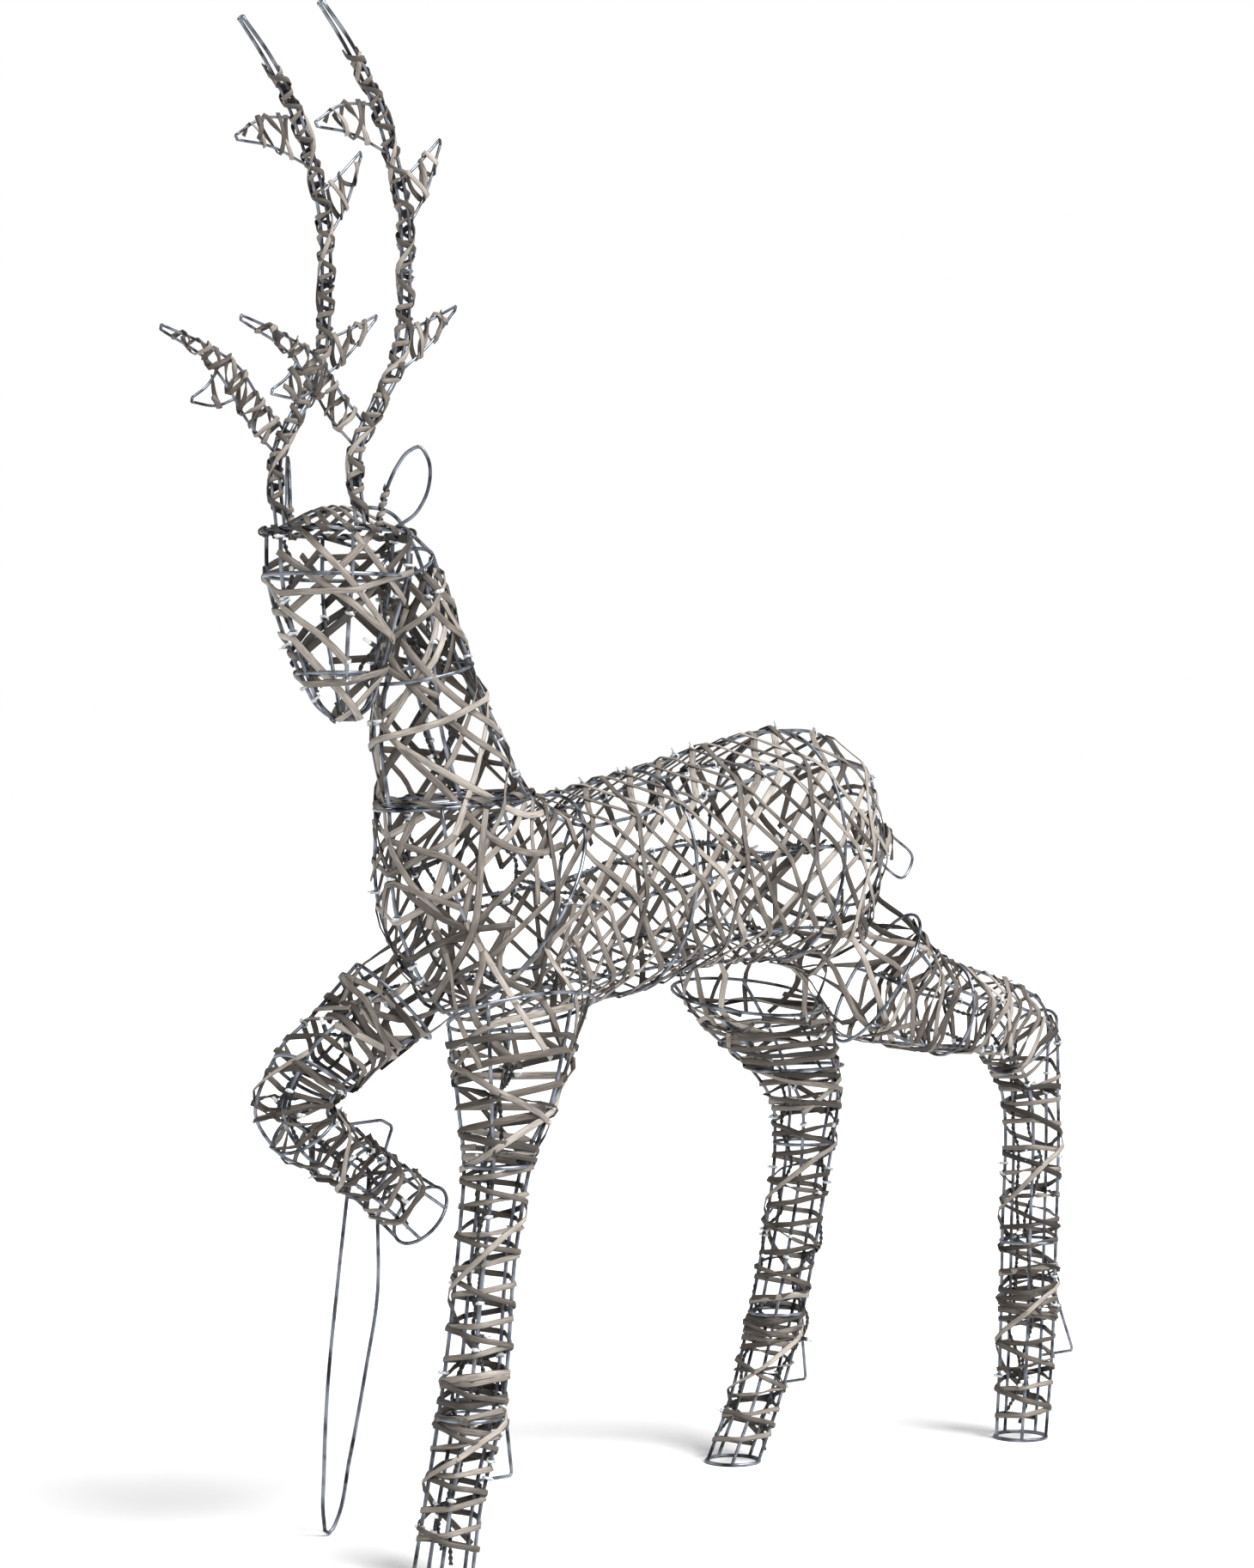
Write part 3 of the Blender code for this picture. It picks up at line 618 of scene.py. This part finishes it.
# %% [markdown]
# ## Straight strips on the trunk
# On the flank the strips don't climb evenly: each is pulled straight, at its own slant, and goes round
# the trunk in one plane, like the cut of a knife. So a plane is laid through the cage, and the strip
# runs from wire to wire through the nearest place where the plane cuts the next one. Where a plane
# runs nearly along a wire, a place or two between keep the strip on the cage.


# %% Straight strips
LEAP = 0.20       # the farthest that a strip runs along the cage between two columns
SPOT_GAP = 0.03   # the farthest between two places of a strip
COLUMNS = 3       # columns for each wire: on it, and a third and two thirds of the way to the next
SHORTEST = 6      # places in the shortest strip


def crossings(column, reach, depth):
    """The lengths at which a column passes through a depth."""
    found = []
    for i in range(len(reach) - 1):
        a, b = column[i] - depth, column[i + 1] - depth
        if a * b < 0:
            found.append(reach[i] + (reach[i + 1] - reach[i]) * a / (a - b))
    return found


def trace(cuts, first):
    """One strip from a first column both ways round; the places it takes leave the cuts."""
    chain = [(first, cuts[first].pop(0))]
    for way in (1, -1):
        h, s = chain[0] if way < 0 else chain[-1]
        while len(chain) < len(cuts) + 2:
            options = cuts[(h + way) % len(cuts)]
            if not options or min(abs(c - s) for c in options) > LEAP:
                break
            best = min(options, key=lambda c: abs(c - s))
            options.remove(best)
            h, s = h + way, best
            chain.insert(0 if way < 0 else len(chain), (h, s))
    return chain


def fill_gaps(chain):
    """The same places, with more between those that lie far apart along the cage."""
    spots = []
    for (h, s), (g, t) in zip(chain, chain[1:]):
        parts = max(1, round(abs(t - s) / SPOT_GAP))
        spots += [(h + (g - h) * i / parts, s + (t - s) * i / parts) for i in range(parts)]
    return spots + [chain[-1]]


def slices(into, cage, tilt, lean, step, rng, layer=0):
    """Strips pulled straight round a cage, in planes about step apart.

    The planes' normal tips tilt degrees up from -X and lean degrees aside.
    """
    t, q = math.radians(tilt), math.radians(lean)
    axis = np.array([-math.cos(t) * math.cos(q), math.sin(q), math.sin(t) * math.cos(q)])
    places = cage.count * COLUMNS
    reach = np.linspace(0.0, cage.length, 110)
    depths = [[float(cage.at(s, h / COLUMNS) @ axis) for s in reach] for h in range(places)]
    clear = WIRE / 2 + STRIP_THICK * (SEAT + layer)
    least, most = min(map(min, depths)), max(map(max, depths))
    for j in range(int((most - least) / step)):
        depth = least + (j + 0.5 + rng.uniform(-0.28, 0.28)) * step
        cuts = [crossings(column, reach, depth) for column in depths]
        for eighth in (2, 6, 3, 5, 4):
            first = places * eighth // 8
            chain = trace(cuts, first) if cuts[first] else []
            if len(chain) < SHORTEST:
                continue
            spots = [(s, h / COLUMNS) for h, s in fill_gaps(chain)]
            normals = [cage.normal(s, a) for s, a in spots]
            path = [cage.at(s, a) + out * clear for (s, a), out in zip(spots, normals)]
            lay_strip(into, path, normals, STRIP_WIDTH * rng.uniform(0.88, 1.06))


# %% [markdown]
# ## Strips across the seams
# Where two sections meet, strips run from one over to the other, and that is what makes the sections
# look like one animal. Joining the meshes would tie them for good; strips that cross leave each
# section a piece of its own. Leg tops are lashed to the trunk, the neck and the chest are bridged, and
# each dewclaw is bound to its leg.


# %% Across the seams
def nearest(cage, p):
    """The (length, wire number) of a cage that is nearest to a point."""
    best = (1e9, 0.0, 0.0)
    for j in range(0, len(cage.table), 2):
        s = cage.length * j / (len(cage.table) - 1)
        for a in range(cage.count * 2):
            gap = float(np.sum((cage.at(s, a / 2) - p) ** 2))
            best = min(best, (gap, s, a / 2))
    return best[1], best[2]


def lash(into, limb, trunk, strips, rng, root=0.050, brim=0.004):
    """Strips that start root below a limb's top, pass over its brim and run on across the trunk."""
    clear = WIRE / 2 + STRIP_THICK
    rise = limb.centre(limb.length) - limb.centre(limb.length - root)
    rise /= np.linalg.norm(rise)
    for j in range(strips):
        a = limb.count * (j + rng.uniform(-0.3, 0.3)) / strips
        lean = rng.choice((-1, 1)) * rng.uniform(0.2, 0.7)
        stops = [(limb, limb.length - root, a - lean), (limb, limb.length - brim, a)]
        foot, edge = [cage.at(s, w) for cage, s, w in stops]
        way = (edge - foot) / np.linalg.norm(edge - foot) * 0.6 + rise * 0.4
        for near, far in ((0.030, 0.050), (0.075, 0.110)):
            stops.append((trunk, *nearest(trunk, edge + way * rng.uniform(near, far))))
        normals = [cage.normal(s, w) for cage, s, w in stops]
        path = [cage.at(s, w) + out * clear for (cage, s, w), out in zip(stops, normals)]
        lay_strip(into, path, normals, count=11)


def bridge(into, strips, hand, rng, below=0.10, above=0.25, turns=1.9, layer=0, step=0.022):
    """Strips that climb from the chest over the seam and on round the neck, turns to a metre."""
    clear = WIRE / 2 + STRIP_THICK * (0.6 + layer)
    for j in range(strips):
        first = (j + rng.uniform(-0.3, 0.3)) / strips
        rate = hand * turns * rng.uniform(0.75, 1.25)
        path, normals = [], []
        for d in np.arange(-below * rng.uniform(0.6, 1.1), above * rng.uniform(0.7, 1.0), step):
            cage, s = (TRUNK, TRUNK.length + d) if d < 0 else (NECK, d)
            a = (first + rate * d) * cage.count
            out = cage.normal(s, a)
            path.append(cage.at(s, a) + out * clear)
            normals.append(out)
        lay_strip(into, path, normals, STRIP_WIDTH * rng.uniform(0.88, 1.06))


def bind_dewclaw(into, leg, reach, s):
    """One strip round leg and dewclaw together, at the length s of the leg."""
    clear = WIRE / 2 + STRIP_THICK
    share = (CLAW_TOP - s) / (CLAW_TOP - CLAW_FOOT)
    corner = leg.at(CLAW_FOOT, 0) + np.array([reach, 0.0, -CLAW_DROP])
    claw = leg.at(CLAW_TOP, 0) * (1 - share) + corner * share
    places = [a * 0.5 for a in range(1, 2 * leg.count)]
    normals = [leg.normal(s, a) for a in places]
    path = [leg.at(s + 0.006 * math.sin(a * 1.3 + s * 900), a) + out * clear
            for a, out in zip(places, normals)]
    into.sweep(path + [claw + np.array([clear, 0.0, 0.0])], flat_section(STRIP_WIDTH, STRIP_THICK),
               normals + [np.array([1.0, 0.0, 0.0])], closed=True)


# %% [markdown]
# ## Whipping
# A single wire or ring can carry a strip too, wound tightly about it as a handle is whipped. A helix
# about the wire's own line does it. Its start direction is carried along from point to point, so the
# helix doesn't flip where the wire bends.


# %% Whipping
TURN_STEPS = 10


def whip(into, path, pitch, wire=WIRE, width=STRIP_WIDTH):
    """Strip wound about one wire or ring, which is given as a path of points."""
    path = np.array(path)
    ways = np.gradient(path, axis=0)
    ways /= np.linalg.norm(ways, axis=1)[:, None]
    reach = np.concatenate([[0.0], np.cumsum(np.linalg.norm(np.diff(path, axis=0), axis=1))])
    count = int(reach[-1] / pitch * TURN_STEPS)
    up = np.array([0.12, 0.23, 0.96])
    points, normals = [], []
    for k in range(count):
        at = reach[-1] * k / count
        p = np.array([np.interp(at, reach, path[:, c]) for c in range(3)])
        way = np.array([np.interp(at, reach, ways[:, c]) for c in range(3)])
        way /= np.linalg.norm(way)
        up = up - way * (up @ way)
        up /= np.linalg.norm(up)
        turn = 2 * math.pi * k / TURN_STEPS
        out = up * math.cos(turn) + np.cross(way, up) * math.sin(turn)
        points.append(p + out * (wire / 2 + STRIP_THICK * 0.8))
        normals.append(out)
    into.sweep(points, flat_section(width, STRIP_THICK), normals)


# %% [markdown]
# ## Trunk
# Two sets of straight strips cross on the flank, one leaning forward and one back, with a few level
# ones over them. The chance differences all come from one seed, so that the figure is wound the same
# way each time.

# %% Trunk
rng = random.Random(11)
body = Builder()
slices(body, TRUNK, 50, 9, 0.031, rng)
slices(body, TRUNK, -48, -8, 0.026, rng, layer=1)
slices(body, TRUNK, 8, 16, 0.110, rng, layer=2)
body.make("body_wicker", RATTAN, "rattan_strip", ["body_wicker_under", "body_wicker_over"])

# %% [markdown]
# ## Neck and head
# The neck's strips start on the chest and climb both ways round, and its lowest ring is whipped. The
# head is laced across in three slants. Over the crown, which has no wires of its own, strips arch from
# side to side, and the ring that carries the antlers is whipped.

# %% Neck and head
neck = Builder()
bridge(neck, 9, 1, rng)
bridge(neck, 8, -1, rng, turns=2.4, layer=1)
family(neck, NECK, 4, 0.30, 1, rng, low=0.08)
family(neck, NECK, 4, 0.24, -1, rng, low=0.10, layer=1)
family(neck, NECK, 1, 0.12, 1, rng, low=0.02, layer=2)
whip(neck, NECK.ring(0) + NECK.ring(0)[:2], 0.050)
neck.make("neck_wicker", RATTAN, "rattan_strip", ["neck_wicker_under", "neck_wicker_over"])

face = Builder()
family(face, HEAD, 3, 0.26, -1, rng, low=0.050, layer=1)
slices(face, HEAD, 47, 20, 0.046, rng)
slices(face, HEAD, 132, -27, 0.050, rng, layer=1)
slices(face, HEAD, 74, -8, 0.085, rng, layer=2)
for j in range(7):
    share = 0.12 + 0.11 * j
    one, other = HEAD.at(HEAD.length, 2.9 - 2.6 * share), HEAD.at(HEAD.length, 3.1 + 2.6 * share)
    top = np.array([-0.110 + 0.110 * share, 0.0, 0.928 + 0.017 * math.sin(share * 3.0)]) + SHIFT
    arc, _ = smooth(np.array([one, (one + top) / 2, top, (top + other) / 2, other]), 9)
    face.sweep(arc, flat_section(STRIP_WIDTH, STRIP_THICK), [(0.0, 0.0, 1.0)] * 9)
whip(face, HEAD.ring(5) + HEAD.ring(5)[:2], 0.022)
face.make("face_wicker", RATTAN, "rattan_strip", ["head_wicker"])

# %% [markdown]
# ## Legs
# Below the knee the strips lie nearly level and close together, like a bandage; above it they open
# into diagonals that run on over the trunk. KNEES says at what length along each leg the one gives way
# to the other.

# %% Legs
KNEES = {"front_left_leg": 0.36, "hind_left_leg": 0.47, "hind_right_leg": 0.37, "front_right_leg": 0.27}
BINDINGS = (0.178, 0.162, 0.148, 0.131)
snug = {"loose": 0.0006, "width": 0.0060}
for name, cage in LEGS.items():
    wound = Builder()
    knee = KNEES[name]
    family(wound, cage, 1, 0.026, 1, rng, low=0.014, high=knee + 0.03, spread=0.04, **snug)
    family(wound, cage, 1, 0.044, -1, rng, low=0.020, high=knee + 0.03, layer=1, **snug)
    family(wound, cage, 1, 0.160, 1, rng, low=0.020, high=knee, layer=2, **snug)
    family(wound, cage, 1, 0.034, 1, rng, low=knee)
    family(wound, cage, 1, 0.046, -1, rng, low=knee, layer=1)
    family(wound, cage, 2, 0.20, 1, rng, low=knee, layer=1)
    family(wound, cage, 1, 0.15, -1, rng, low=knee, layer=2)
    lash(wound, cage, TRUNK, 11, rng)
    if name in DEWCLAWS:
        for s in BINDINGS:
            bind_dewclaw(wound, cage, DEWCLAWS[name], s)
    nodes = [name + "_wicker"]
    if name == "front_right_leg":
        nodes = [name + "_wicker_lower", name + "_wicker_upper"]
    wound.make(name + "_wound", RATTAN, "rattan_strip", nodes)

# %% [markdown]
# ## Antlers
# Each antler is a slim beam of four wires, wound with narrow strip. Its tines are single wires bent
# out to a blunt tip and back, like leaves, with strip zigzagged between their two sides. The beam is a
# cage like the others, and so is a tine: a flat one between its two sides, so the same winding serves
# for both. Both antlers come from one set of numbers, one on each side.

# %% The shape of an antler
ANTLER_SIDE, BEAM_RADIUS, TINE_TIP = 0.049, 0.0052, 0.004
ANTLER_X, ANTLER_BASE, ANTLER_HEIGHT = -0.077, 0.9215, 0.4475
BEAM = [(0.000, 0.000), (-0.004, 0.153), (0.017, 0.231), (0.041, 0.305), (0.053, 0.390), (0.057, 0.511),
        (0.054, 0.634), (0.038, 0.745), (0.015, 0.846), (-0.015, 0.931), (-0.048, 1.000)]
SHARES = [1.0] * 7 + [0.95, 0.9, 0.8, 0.5]
FRONT, BACK = -1, 1


def in_antler(y, *shares):
    """Places in an antler's own plane, from their way back and their share of its height."""
    return [np.array([ANTLER_X + x, y, ANTLER_BASE + ANTLER_HEIGHT * up]) for x, up in shares]


def beam_stations(y):
    """The beam's rings, each square to the beam's own line."""
    middles = in_antler(y, *BEAM)
    made = []
    for k, middle in enumerate(middles):
        way = middles[min(k + 1, len(middles) - 1)] - middles[max(k - 1, 0)]
        way /= np.linalg.norm(way)
        r = BEAM_RADIUS * SHARES[k]
        made.append((middle, (way[2] * r, 0.0, -way[0] * r), (0.0, r, 0.0)))
    return made


def on_beam(stations, side, row, share):
    """A place on the beam's front or back wire, a share of the way from one ring to the next."""
    here, there = [np.array(c) + np.array(u) * side for c, u, _ in stations[row:row + 2]]
    return here * (1 - share) + there * share


def leaf(low, high, tip, bow_low, bow_high):
    """The two sides of a tine, each from the beam to its tip."""
    across = (high - low) / np.linalg.norm(high - low)
    return ([low, (low + tip) / 2 + across * bow_low, tip - across * TINE_TIP / 2],
            [high, (high + tip) / 2 + across * bow_high, tip + across * TINE_TIP / 2])


def tines(stations, y):
    """The two sides of each of the five tines, from the top down; the last forks off the fourth."""
    brow_low = [on_beam(stations, FRONT, 1, 0.05)] + in_antler(
        y, (-0.039, 0.211), (-0.063, 0.274), (-0.082, 0.314), (-0.143, 0.372))
    brow_high = [on_beam(stations, FRONT, 1, 0.60)] + in_antler(
        y, (-0.024, 0.256), (-0.050, 0.316), (-0.089, 0.352), (-0.142, 0.381))
    hook_low = [brow_low[1] * 0.3 + brow_low[2] * 0.7] + in_antler(y, (-0.077, 0.238), (-0.107, 0.240))
    hook_high = [brow_low[2] * 0.25 + brow_low[3] * 0.75] + in_antler(
        y, (-0.089, 0.274), (-0.106, 0.249))
    top, middle, lower = in_antler(y, (-0.054, 0.765), (0.101, 0.779), (0.121, 0.453))
    return [leaf(on_beam(stations, FRONT, 6, 0.95), on_beam(stations, FRONT, 7, 0.85), top, 0.005, 0.008),
            leaf(on_beam(stations, BACK, 5, 0.70), on_beam(stations, BACK, 6, 0.45), middle, -0.008, 0.0),
            leaf(on_beam(stations, BACK, 3, 0.10), on_beam(stations, BACK, 4, 0.05), lower, -0.008, 0.0),
            (brow_low, brow_high), (hook_low, hook_high)]


def tine_cage(low, high, half=0.0022):
    """A flat cage between the two sides of a tine, for its strip to be wound on."""
    a, _ = smooth(np.array(low), 9)
    b, _ = smooth(np.array(high), 9)
    return Cage([((p + q) / 2, (q - p) / 2, (0.0, half, 0.0)) for p, q in zip(a, b)], 4, dense=30)


# %% Antlers
TINE_WIRE = ANTLER_WIRE * 0.86
narrow = {"wire": ANTLER_WIRE, "width": 0.0052, "loose": 0.0004}
for label, side in (("left", -1), ("right", 1)):
    y = side * ANTLER_SIDE
    stations = beam_stations(y)
    beam = Cage(stations, 4, dense=90)
    wires, wound = Builder(), Builder()
    add_wires(wires, beam, (0, 1, 5, 10), ANTLER_WIRE)
    top = beam.length - 0.045
    family(wound, beam, 1, 0.019, 1, rng, low=0.006, high=top, **narrow)
    family(wound, beam, 1, 0.030, -1, rng, low=0.006, high=top, layer=1, **narrow)
    family(wound, beam, 1, 0.085, 1, rng, low=0.006, high=top, layer=1, **narrow)
    for low, high in tines(stations, y):
        add_line(wires, low, TINE_WIRE, steps=20)
        add_line(wires, high, TINE_WIRE, steps=20)
        add_line(wires, [low[-1], high[-1]], TINE_WIRE, steps=3)
        between = tine_cage(low, high)
        family(wound, between, 1, 0.024, 1, rng, low=0.004, high=between.length - 0.010, **narrow)
        family(wound, between, 1, 0.030, -1, rng, low=0.010, high=between.length - 0.018,
               layer=1, **narrow)
    name = "antler_" + label
    wires.make(name + "_wires", STEEL, "steel_wire", [name + "_frame"])
    wound.make(name + "_wound", RATTAN, "rattan_strip",
               [name + "_wicker_" + part for part in ("lower", "middle", "upper")])

# %% [markdown]
# ## Ears, tail and prop
# Small bare loops of wire: each ear stands on the crown, its foot whipped with strip, the tail is
# wound over its first half, and the prop is one long hairpin that carries the raised leg. A few listed
# knots and a smooth line through them are all that such a loop needs.

# %% Ears
LOOP_WIRE = WIRE * 0.92
EAR_REACH, EAR_HEIGHT, EAR_TURN = 0.044, 0.070, math.radians(50)
EAR_WHIPPED = {"left": 11, "right": 7}
EAR_LINE = [(0.20, 0.52), (0.38, 0.76), (0.60, 0.94), (0.82, 1.00), (0.98, 0.86), (1.0, 0.50), (0.78, 0.20)]
for label, side in (("left", -1), ("right", 1)):
    foot_y, foot_z = 0.0537 * side, 0.923
    outward = np.array([math.cos(EAR_TURN), side * math.sin(EAR_TURN), 0.0]) * EAR_REACH
    base = np.array([-0.060, foot_y, foot_z])
    loop = [base] + [base + outward * a + np.array([0.0, 0.0, EAR_HEIGHT * b]) for a, b in EAR_LINE]
    loop.append(np.array([-0.040, foot_y, foot_z]))
    ear = Builder()
    path = add_line(ear, loop, LOOP_WIRE, steps=48)
    post = Builder()
    whip(post, path[:EAR_WHIPPED[label]], 0.0085, width=0.0048)
    post.make("ear_" + label + "_wound", RATTAN, "rattan_strip")
    ear.make("ear_" + label + "_wire", STEEL, "steel_wire", ["ear_" + label])

# %% Tail
UPPER = [np.array(p) for p in ((0.736, 0.0, 0.668), (0.780, 0.0, 0.643), (0.813, 0.0, 0.620))]
LOWER = [np.array(p) for p in ((0.738, 0.0, 0.636), (0.768, 0.0, 0.610), (0.797, 0.0, 0.601))]
tail_root = [np.array([0.700, 0.0, 0.668]), np.array([0.700, 0.0, 0.640])]
tail = Builder()
add_line(tail, UPPER + LOWER[::-1], LOOP_WIRE, steps=40)
tail.make("tail_wire", STEEL, "steel_wire", ["tail_frame"])
tail_wound = Builder()
tail_cage = tine_cage([tail_root[0]] + UPPER[:2], [tail_root[1]] + LOWER[:2], half=0.003)
family(tail_wound, tail_cage, 2, 0.026, 1, rng, low=0.004)
family(tail_wound, tail_cage, 2, 0.030, -1, rng, low=0.004, layer=1)
tail_wound.make("tail_wound", RATTAN, "rattan_strip", ["tail_wicker"])

# %% Prop
prop = Builder()
low_box, high_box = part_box("raised_leg_prop")
prop_y = (low_box[1] + high_box[1]) / 2 - SHIFT[1]
PROP_LINE = [(0.0985, 0.3260), (0.085, 0.240), (0.070, 0.130), (0.066, 0.060), (0.066, 0.014),
             (0.069, 0.003), (0.075, 0.003), (0.081, 0.010), (0.100, 0.068), (0.122, 0.150),
             (0.137, 0.215), (0.1374, 0.298)]
add_line(prop, [(x, prop_y, z) for x, z in PROP_LINE], WIRE, steps=90)
prop.make("prop_wire", STEEL, "steel_wire", ["raised_leg_prop"])

# %% [markdown]
# ## The light string
# One dark twisted pair runs inside the figure, tied along the wires, with small lamps on short
# stalks. It could be one round cord with a twisted bump, but its outline is seen against the light,
# so it is two round strands turned about a common path. The path keeps near one wire of each cage and
# wanders from it by chance. A lamp is a dark socket with a small lens on its end.


# %% Light string
CABLE_STEP = 0.0028
LAMP_GAP = 0.085
SOCKET_RADIUS = 0.0022
LENS_LINE = [(0.009, 0.0019), (0.013, 0.0021), (0.016, 0.0016), (0.0172, 0.0007)]


def run(cage, wire, rng, low=0.0, high=None, inward=0.72, wander=0.010, step=0.03):
    """The path of the cable inside a cage: near one wire, wandering from it."""
    high = cage.length if high is None else high
    knots = []
    s = low
    while s < high:
        middle = cage.centre(s)
        share = inward + rng.uniform(-0.10, 0.10)
        knots.append(middle * (1 - share) + cage.at(s, wire) * share
                     + np.array([rng.uniform(-wander, wander) for _ in range(3)]))
        s += step * rng.uniform(0.7, 1.3)
    return knots


lamp_lenses, lamp_sockets = Builder(), Builder()


def add_lamp(foot, way):
    """A socket that stands on the cable, and the lens on its end."""
    lamp_sockets.sweep([foot, foot + way * LENS_LINE[0][0]], circle(SOCKET_RADIUS, 7))
    for (h0, r0), (h1, r1) in zip(LENS_LINE, LENS_LINE[1:]):
        lamp_lenses.sweep([foot + way * h0, foot + way * h1], circle((r0 + r1) / 2, 8))


def lay_cable(into, knots, rng):
    """Two strands twisted about a path, with a lamp on a stalk every so often."""
    length = float(np.sum(np.linalg.norm(np.diff(np.array(knots), axis=0), axis=1)))
    path, _ = smooth(np.array(knots), max(int(length / CABLE_STEP), 12))
    ways = np.gradient(path, axis=0)
    ways /= np.linalg.norm(ways, axis=1)[:, None] + 1e-12
    up = np.array([0.31, 0.44, 0.84])
    sides, ups = [], []
    for way in ways:
        up = up - way * (up @ way)
        up /= np.linalg.norm(up)
        ups.append(up)
        sides.append(np.cross(way, up))
    turn = np.arange(len(path)) * CABLE_STEP / TWIST * 2 * math.pi
    swing = (np.array(sides) * np.cos(turn)[:, None] + np.array(ups) * np.sin(turn)[:, None]) * STRAND
    into.sweep(path + swing, circle(STRAND, 5))
    into.sweep(path - swing, circle(STRAND, 5))
    every = int(LAMP_GAP / CABLE_STEP)
    for j in range(every // 2, len(path) - 4, every):
        way = np.array([rng.uniform(-1, 1), rng.uniform(-1, 1), rng.uniform(-0.6, 1)])
        way = way - ways[j] * (way @ ways[j])
        way /= np.linalg.norm(way)
        add_lamp(path[j], way)


# %% The string through each section
STRINGS = {"light_string_body": (TRUNK, (2, 6, 4)), "light_string_neck": (NECK, (1, 4)),
           "light_string_front_left_leg": (LEGS["front_left_leg"], (1, 3)),
           "light_string_hind_left_leg": (LEGS["hind_left_leg"], (1, 3)),
           "light_string_hind_right_leg": (LEGS["hind_right_leg"], (4, 2)),
           "light_string_front_right_leg": (LEGS["front_right_leg"], (1, 3))}
for name, (cage, wires) in STRINGS.items():
    cable = Builder()
    for wire in wires:
        lay_cable(cable, run(cage, wire, rng, low=0.02 if cage in LEGS.values() else 0.0), rng)
    if cage is NECK:
        lay_cable(cable, run(HEAD, 2, rng, low=0.03), rng)
        lay_cable(cable, run(HEAD, 5, rng, low=0.03), rng)
    cable.make(name + "_cable", SHEATH, "light_cable", [name])
lamp_lenses.make("lamp_lenses", LENS)
lamp_sockets.make("lamp_sockets", SHEATH, "light_cable")

# %% [markdown]
# ## Cable ties
# Pale nylon ties hold the sections, the strip ends and the cable to the wires. Each is a small tight
# loop about a wire, with a head, and about one in three has its cut end standing out. One small loop
# drawn many times over could be instances, but all of them in one mesh are a single plain piece.

# %% Cable ties
TIE_RADIUS, TIE_THICK, TIE_HEAD, CUT_ENDS = 0.0034, 0.0010, 0.0018, 0.35
ties = Builder()


def tie(cage, s, wire, rng):
    """A loop about one wire of a cage, its head, and at times its cut end."""
    p = cage.at(s, wire)
    along = cage.at(s + 0.004, wire) - cage.at(s - 0.004, wire)
    along /= np.linalg.norm(along)
    out = cage.normal(s, wire)
    side = np.cross(along, out)
    lean = along * rng.uniform(-0.5, 0.5)
    steps = [2 * math.pi * i / 12 for i in range(12)]
    normals = [out * math.cos(a) + side * math.sin(a) for a in steps]
    loop = [p + (way + lean * math.sin(a)) * TIE_RADIUS for a, way in zip(steps, normals)]
    ties.sweep(loop, flat_section(TIE_WIDTH, TIE_THICK), normals, closed=True)
    head = p + out * (TIE_RADIUS + 0.0008)
    ties.sweep([head - side * TIE_HEAD, head + side * TIE_HEAD], circle(TIE_HEAD, 6))
    if rng.random() < CUT_ENDS:
        ties.sweep([head, head + out * rng.uniform(0.003, 0.006) + side * rng.uniform(-0.004, 0.004)],
                   flat_section(TIE_WIDTH * 0.8, 0.0009), [along, along])


for cage, many in [(TRUNK, 46), (NECK, 22), (HEAD, 16)] + [(leg, 20) for leg in LEGS.values()]:
    for _ in range(many):
        tie(cage, rng.uniform(0.02, cage.length - 0.004), rng.randrange(cage.count), rng)
ties.make("cable_ties", NYLON)

# %% [markdown]
# ## Camera and floor
# The picture is taken level with the chest, from the animal's left front and some way off, so the
# camera has a long lens and looks level. The floor is one wide pale sheet, which reaches so far that
# its edge never shows.

# %% Camera
scene = bpy.context.scene
LOOK = (0.766, 0.643)   # the way it looks, level
EYE = (-2.309, -2.224, 0.70)
eye = bpy.data.cameras.new("eye")
eye.lens = 82.4
eye.sensor_width = 36.0
camera = bpy.data.objects.new("eye", eye)
camera.location = np.array(EYE) + SHIFT
camera.rotation_euler = (math.pi / 2, 0.0, math.atan2(LOOK[1], LOOK[0]) - math.pi / 2)
scene.collection.objects.link(camera)
scene.camera = camera

# %% Floor
FAR = 60.0
floor_mesh = bpy.data.meshes.new("floor")
floor_mesh.from_pydata([(-FAR, -FAR, 0), (FAR, -FAR, 0), (FAR, FAR, 0), (-FAR, FAR, 0)], [], [(0, 1, 2, 3)])
floor = bpy.data.objects.new("floor", floor_mesh)
scene.collection.objects.link(floor)
floor_look, floor_shader = new_look("pale_floor", 0.85)
floor_shader.inputs["Base Color"].default_value = (0.88, 0.88, 0.88, 1.0)
floor_mesh.materials.append(floor_look)

# %% [markdown]
# ## Light
# A pale surround lights the figure from all sides, as in a white studio, and one broad lamp from above
# gives the strips their light and dark sides and keeps the shadows faint. An area lamp would fall off
# over the length of the figure, so a wide sun is used. The surround is brighter to the camera than to
# the figure: the background stays white, and the strips keep their own tone.


# %% Light
def sun(name, azimuth, height, spread, strength):
    """A soft far lamp, its angles in degrees."""
    data = bpy.data.lights.new(name, "SUN")
    data.angle = math.radians(spread)
    data.energy = strength
    made = bpy.data.objects.new(name, data)
    made.rotation_euler = (math.radians(90.0 - height), 0.0, math.radians(azimuth))
    scene.collection.objects.link(made)


sun("key", 6.0, 52.0, 34.0, 5.4)
world = bpy.data.worlds.new("surround")
world.use_nodes = True
surround = world.node_tree
seen = surround.nodes.new("ShaderNodeLightPath")
level = map_range(surround, seen.outputs["Is Camera Ray"], To_Min=0.45, To_Max=1.0)
surround.nodes["Background"].inputs["Color"].default_value = (1.0, 1.0, 1.0, 1.0)
surround.links.new(level, surround.nodes["Background"].inputs["Strength"])
scene.world = world
scene.view_settings.view_transform = "Standard"
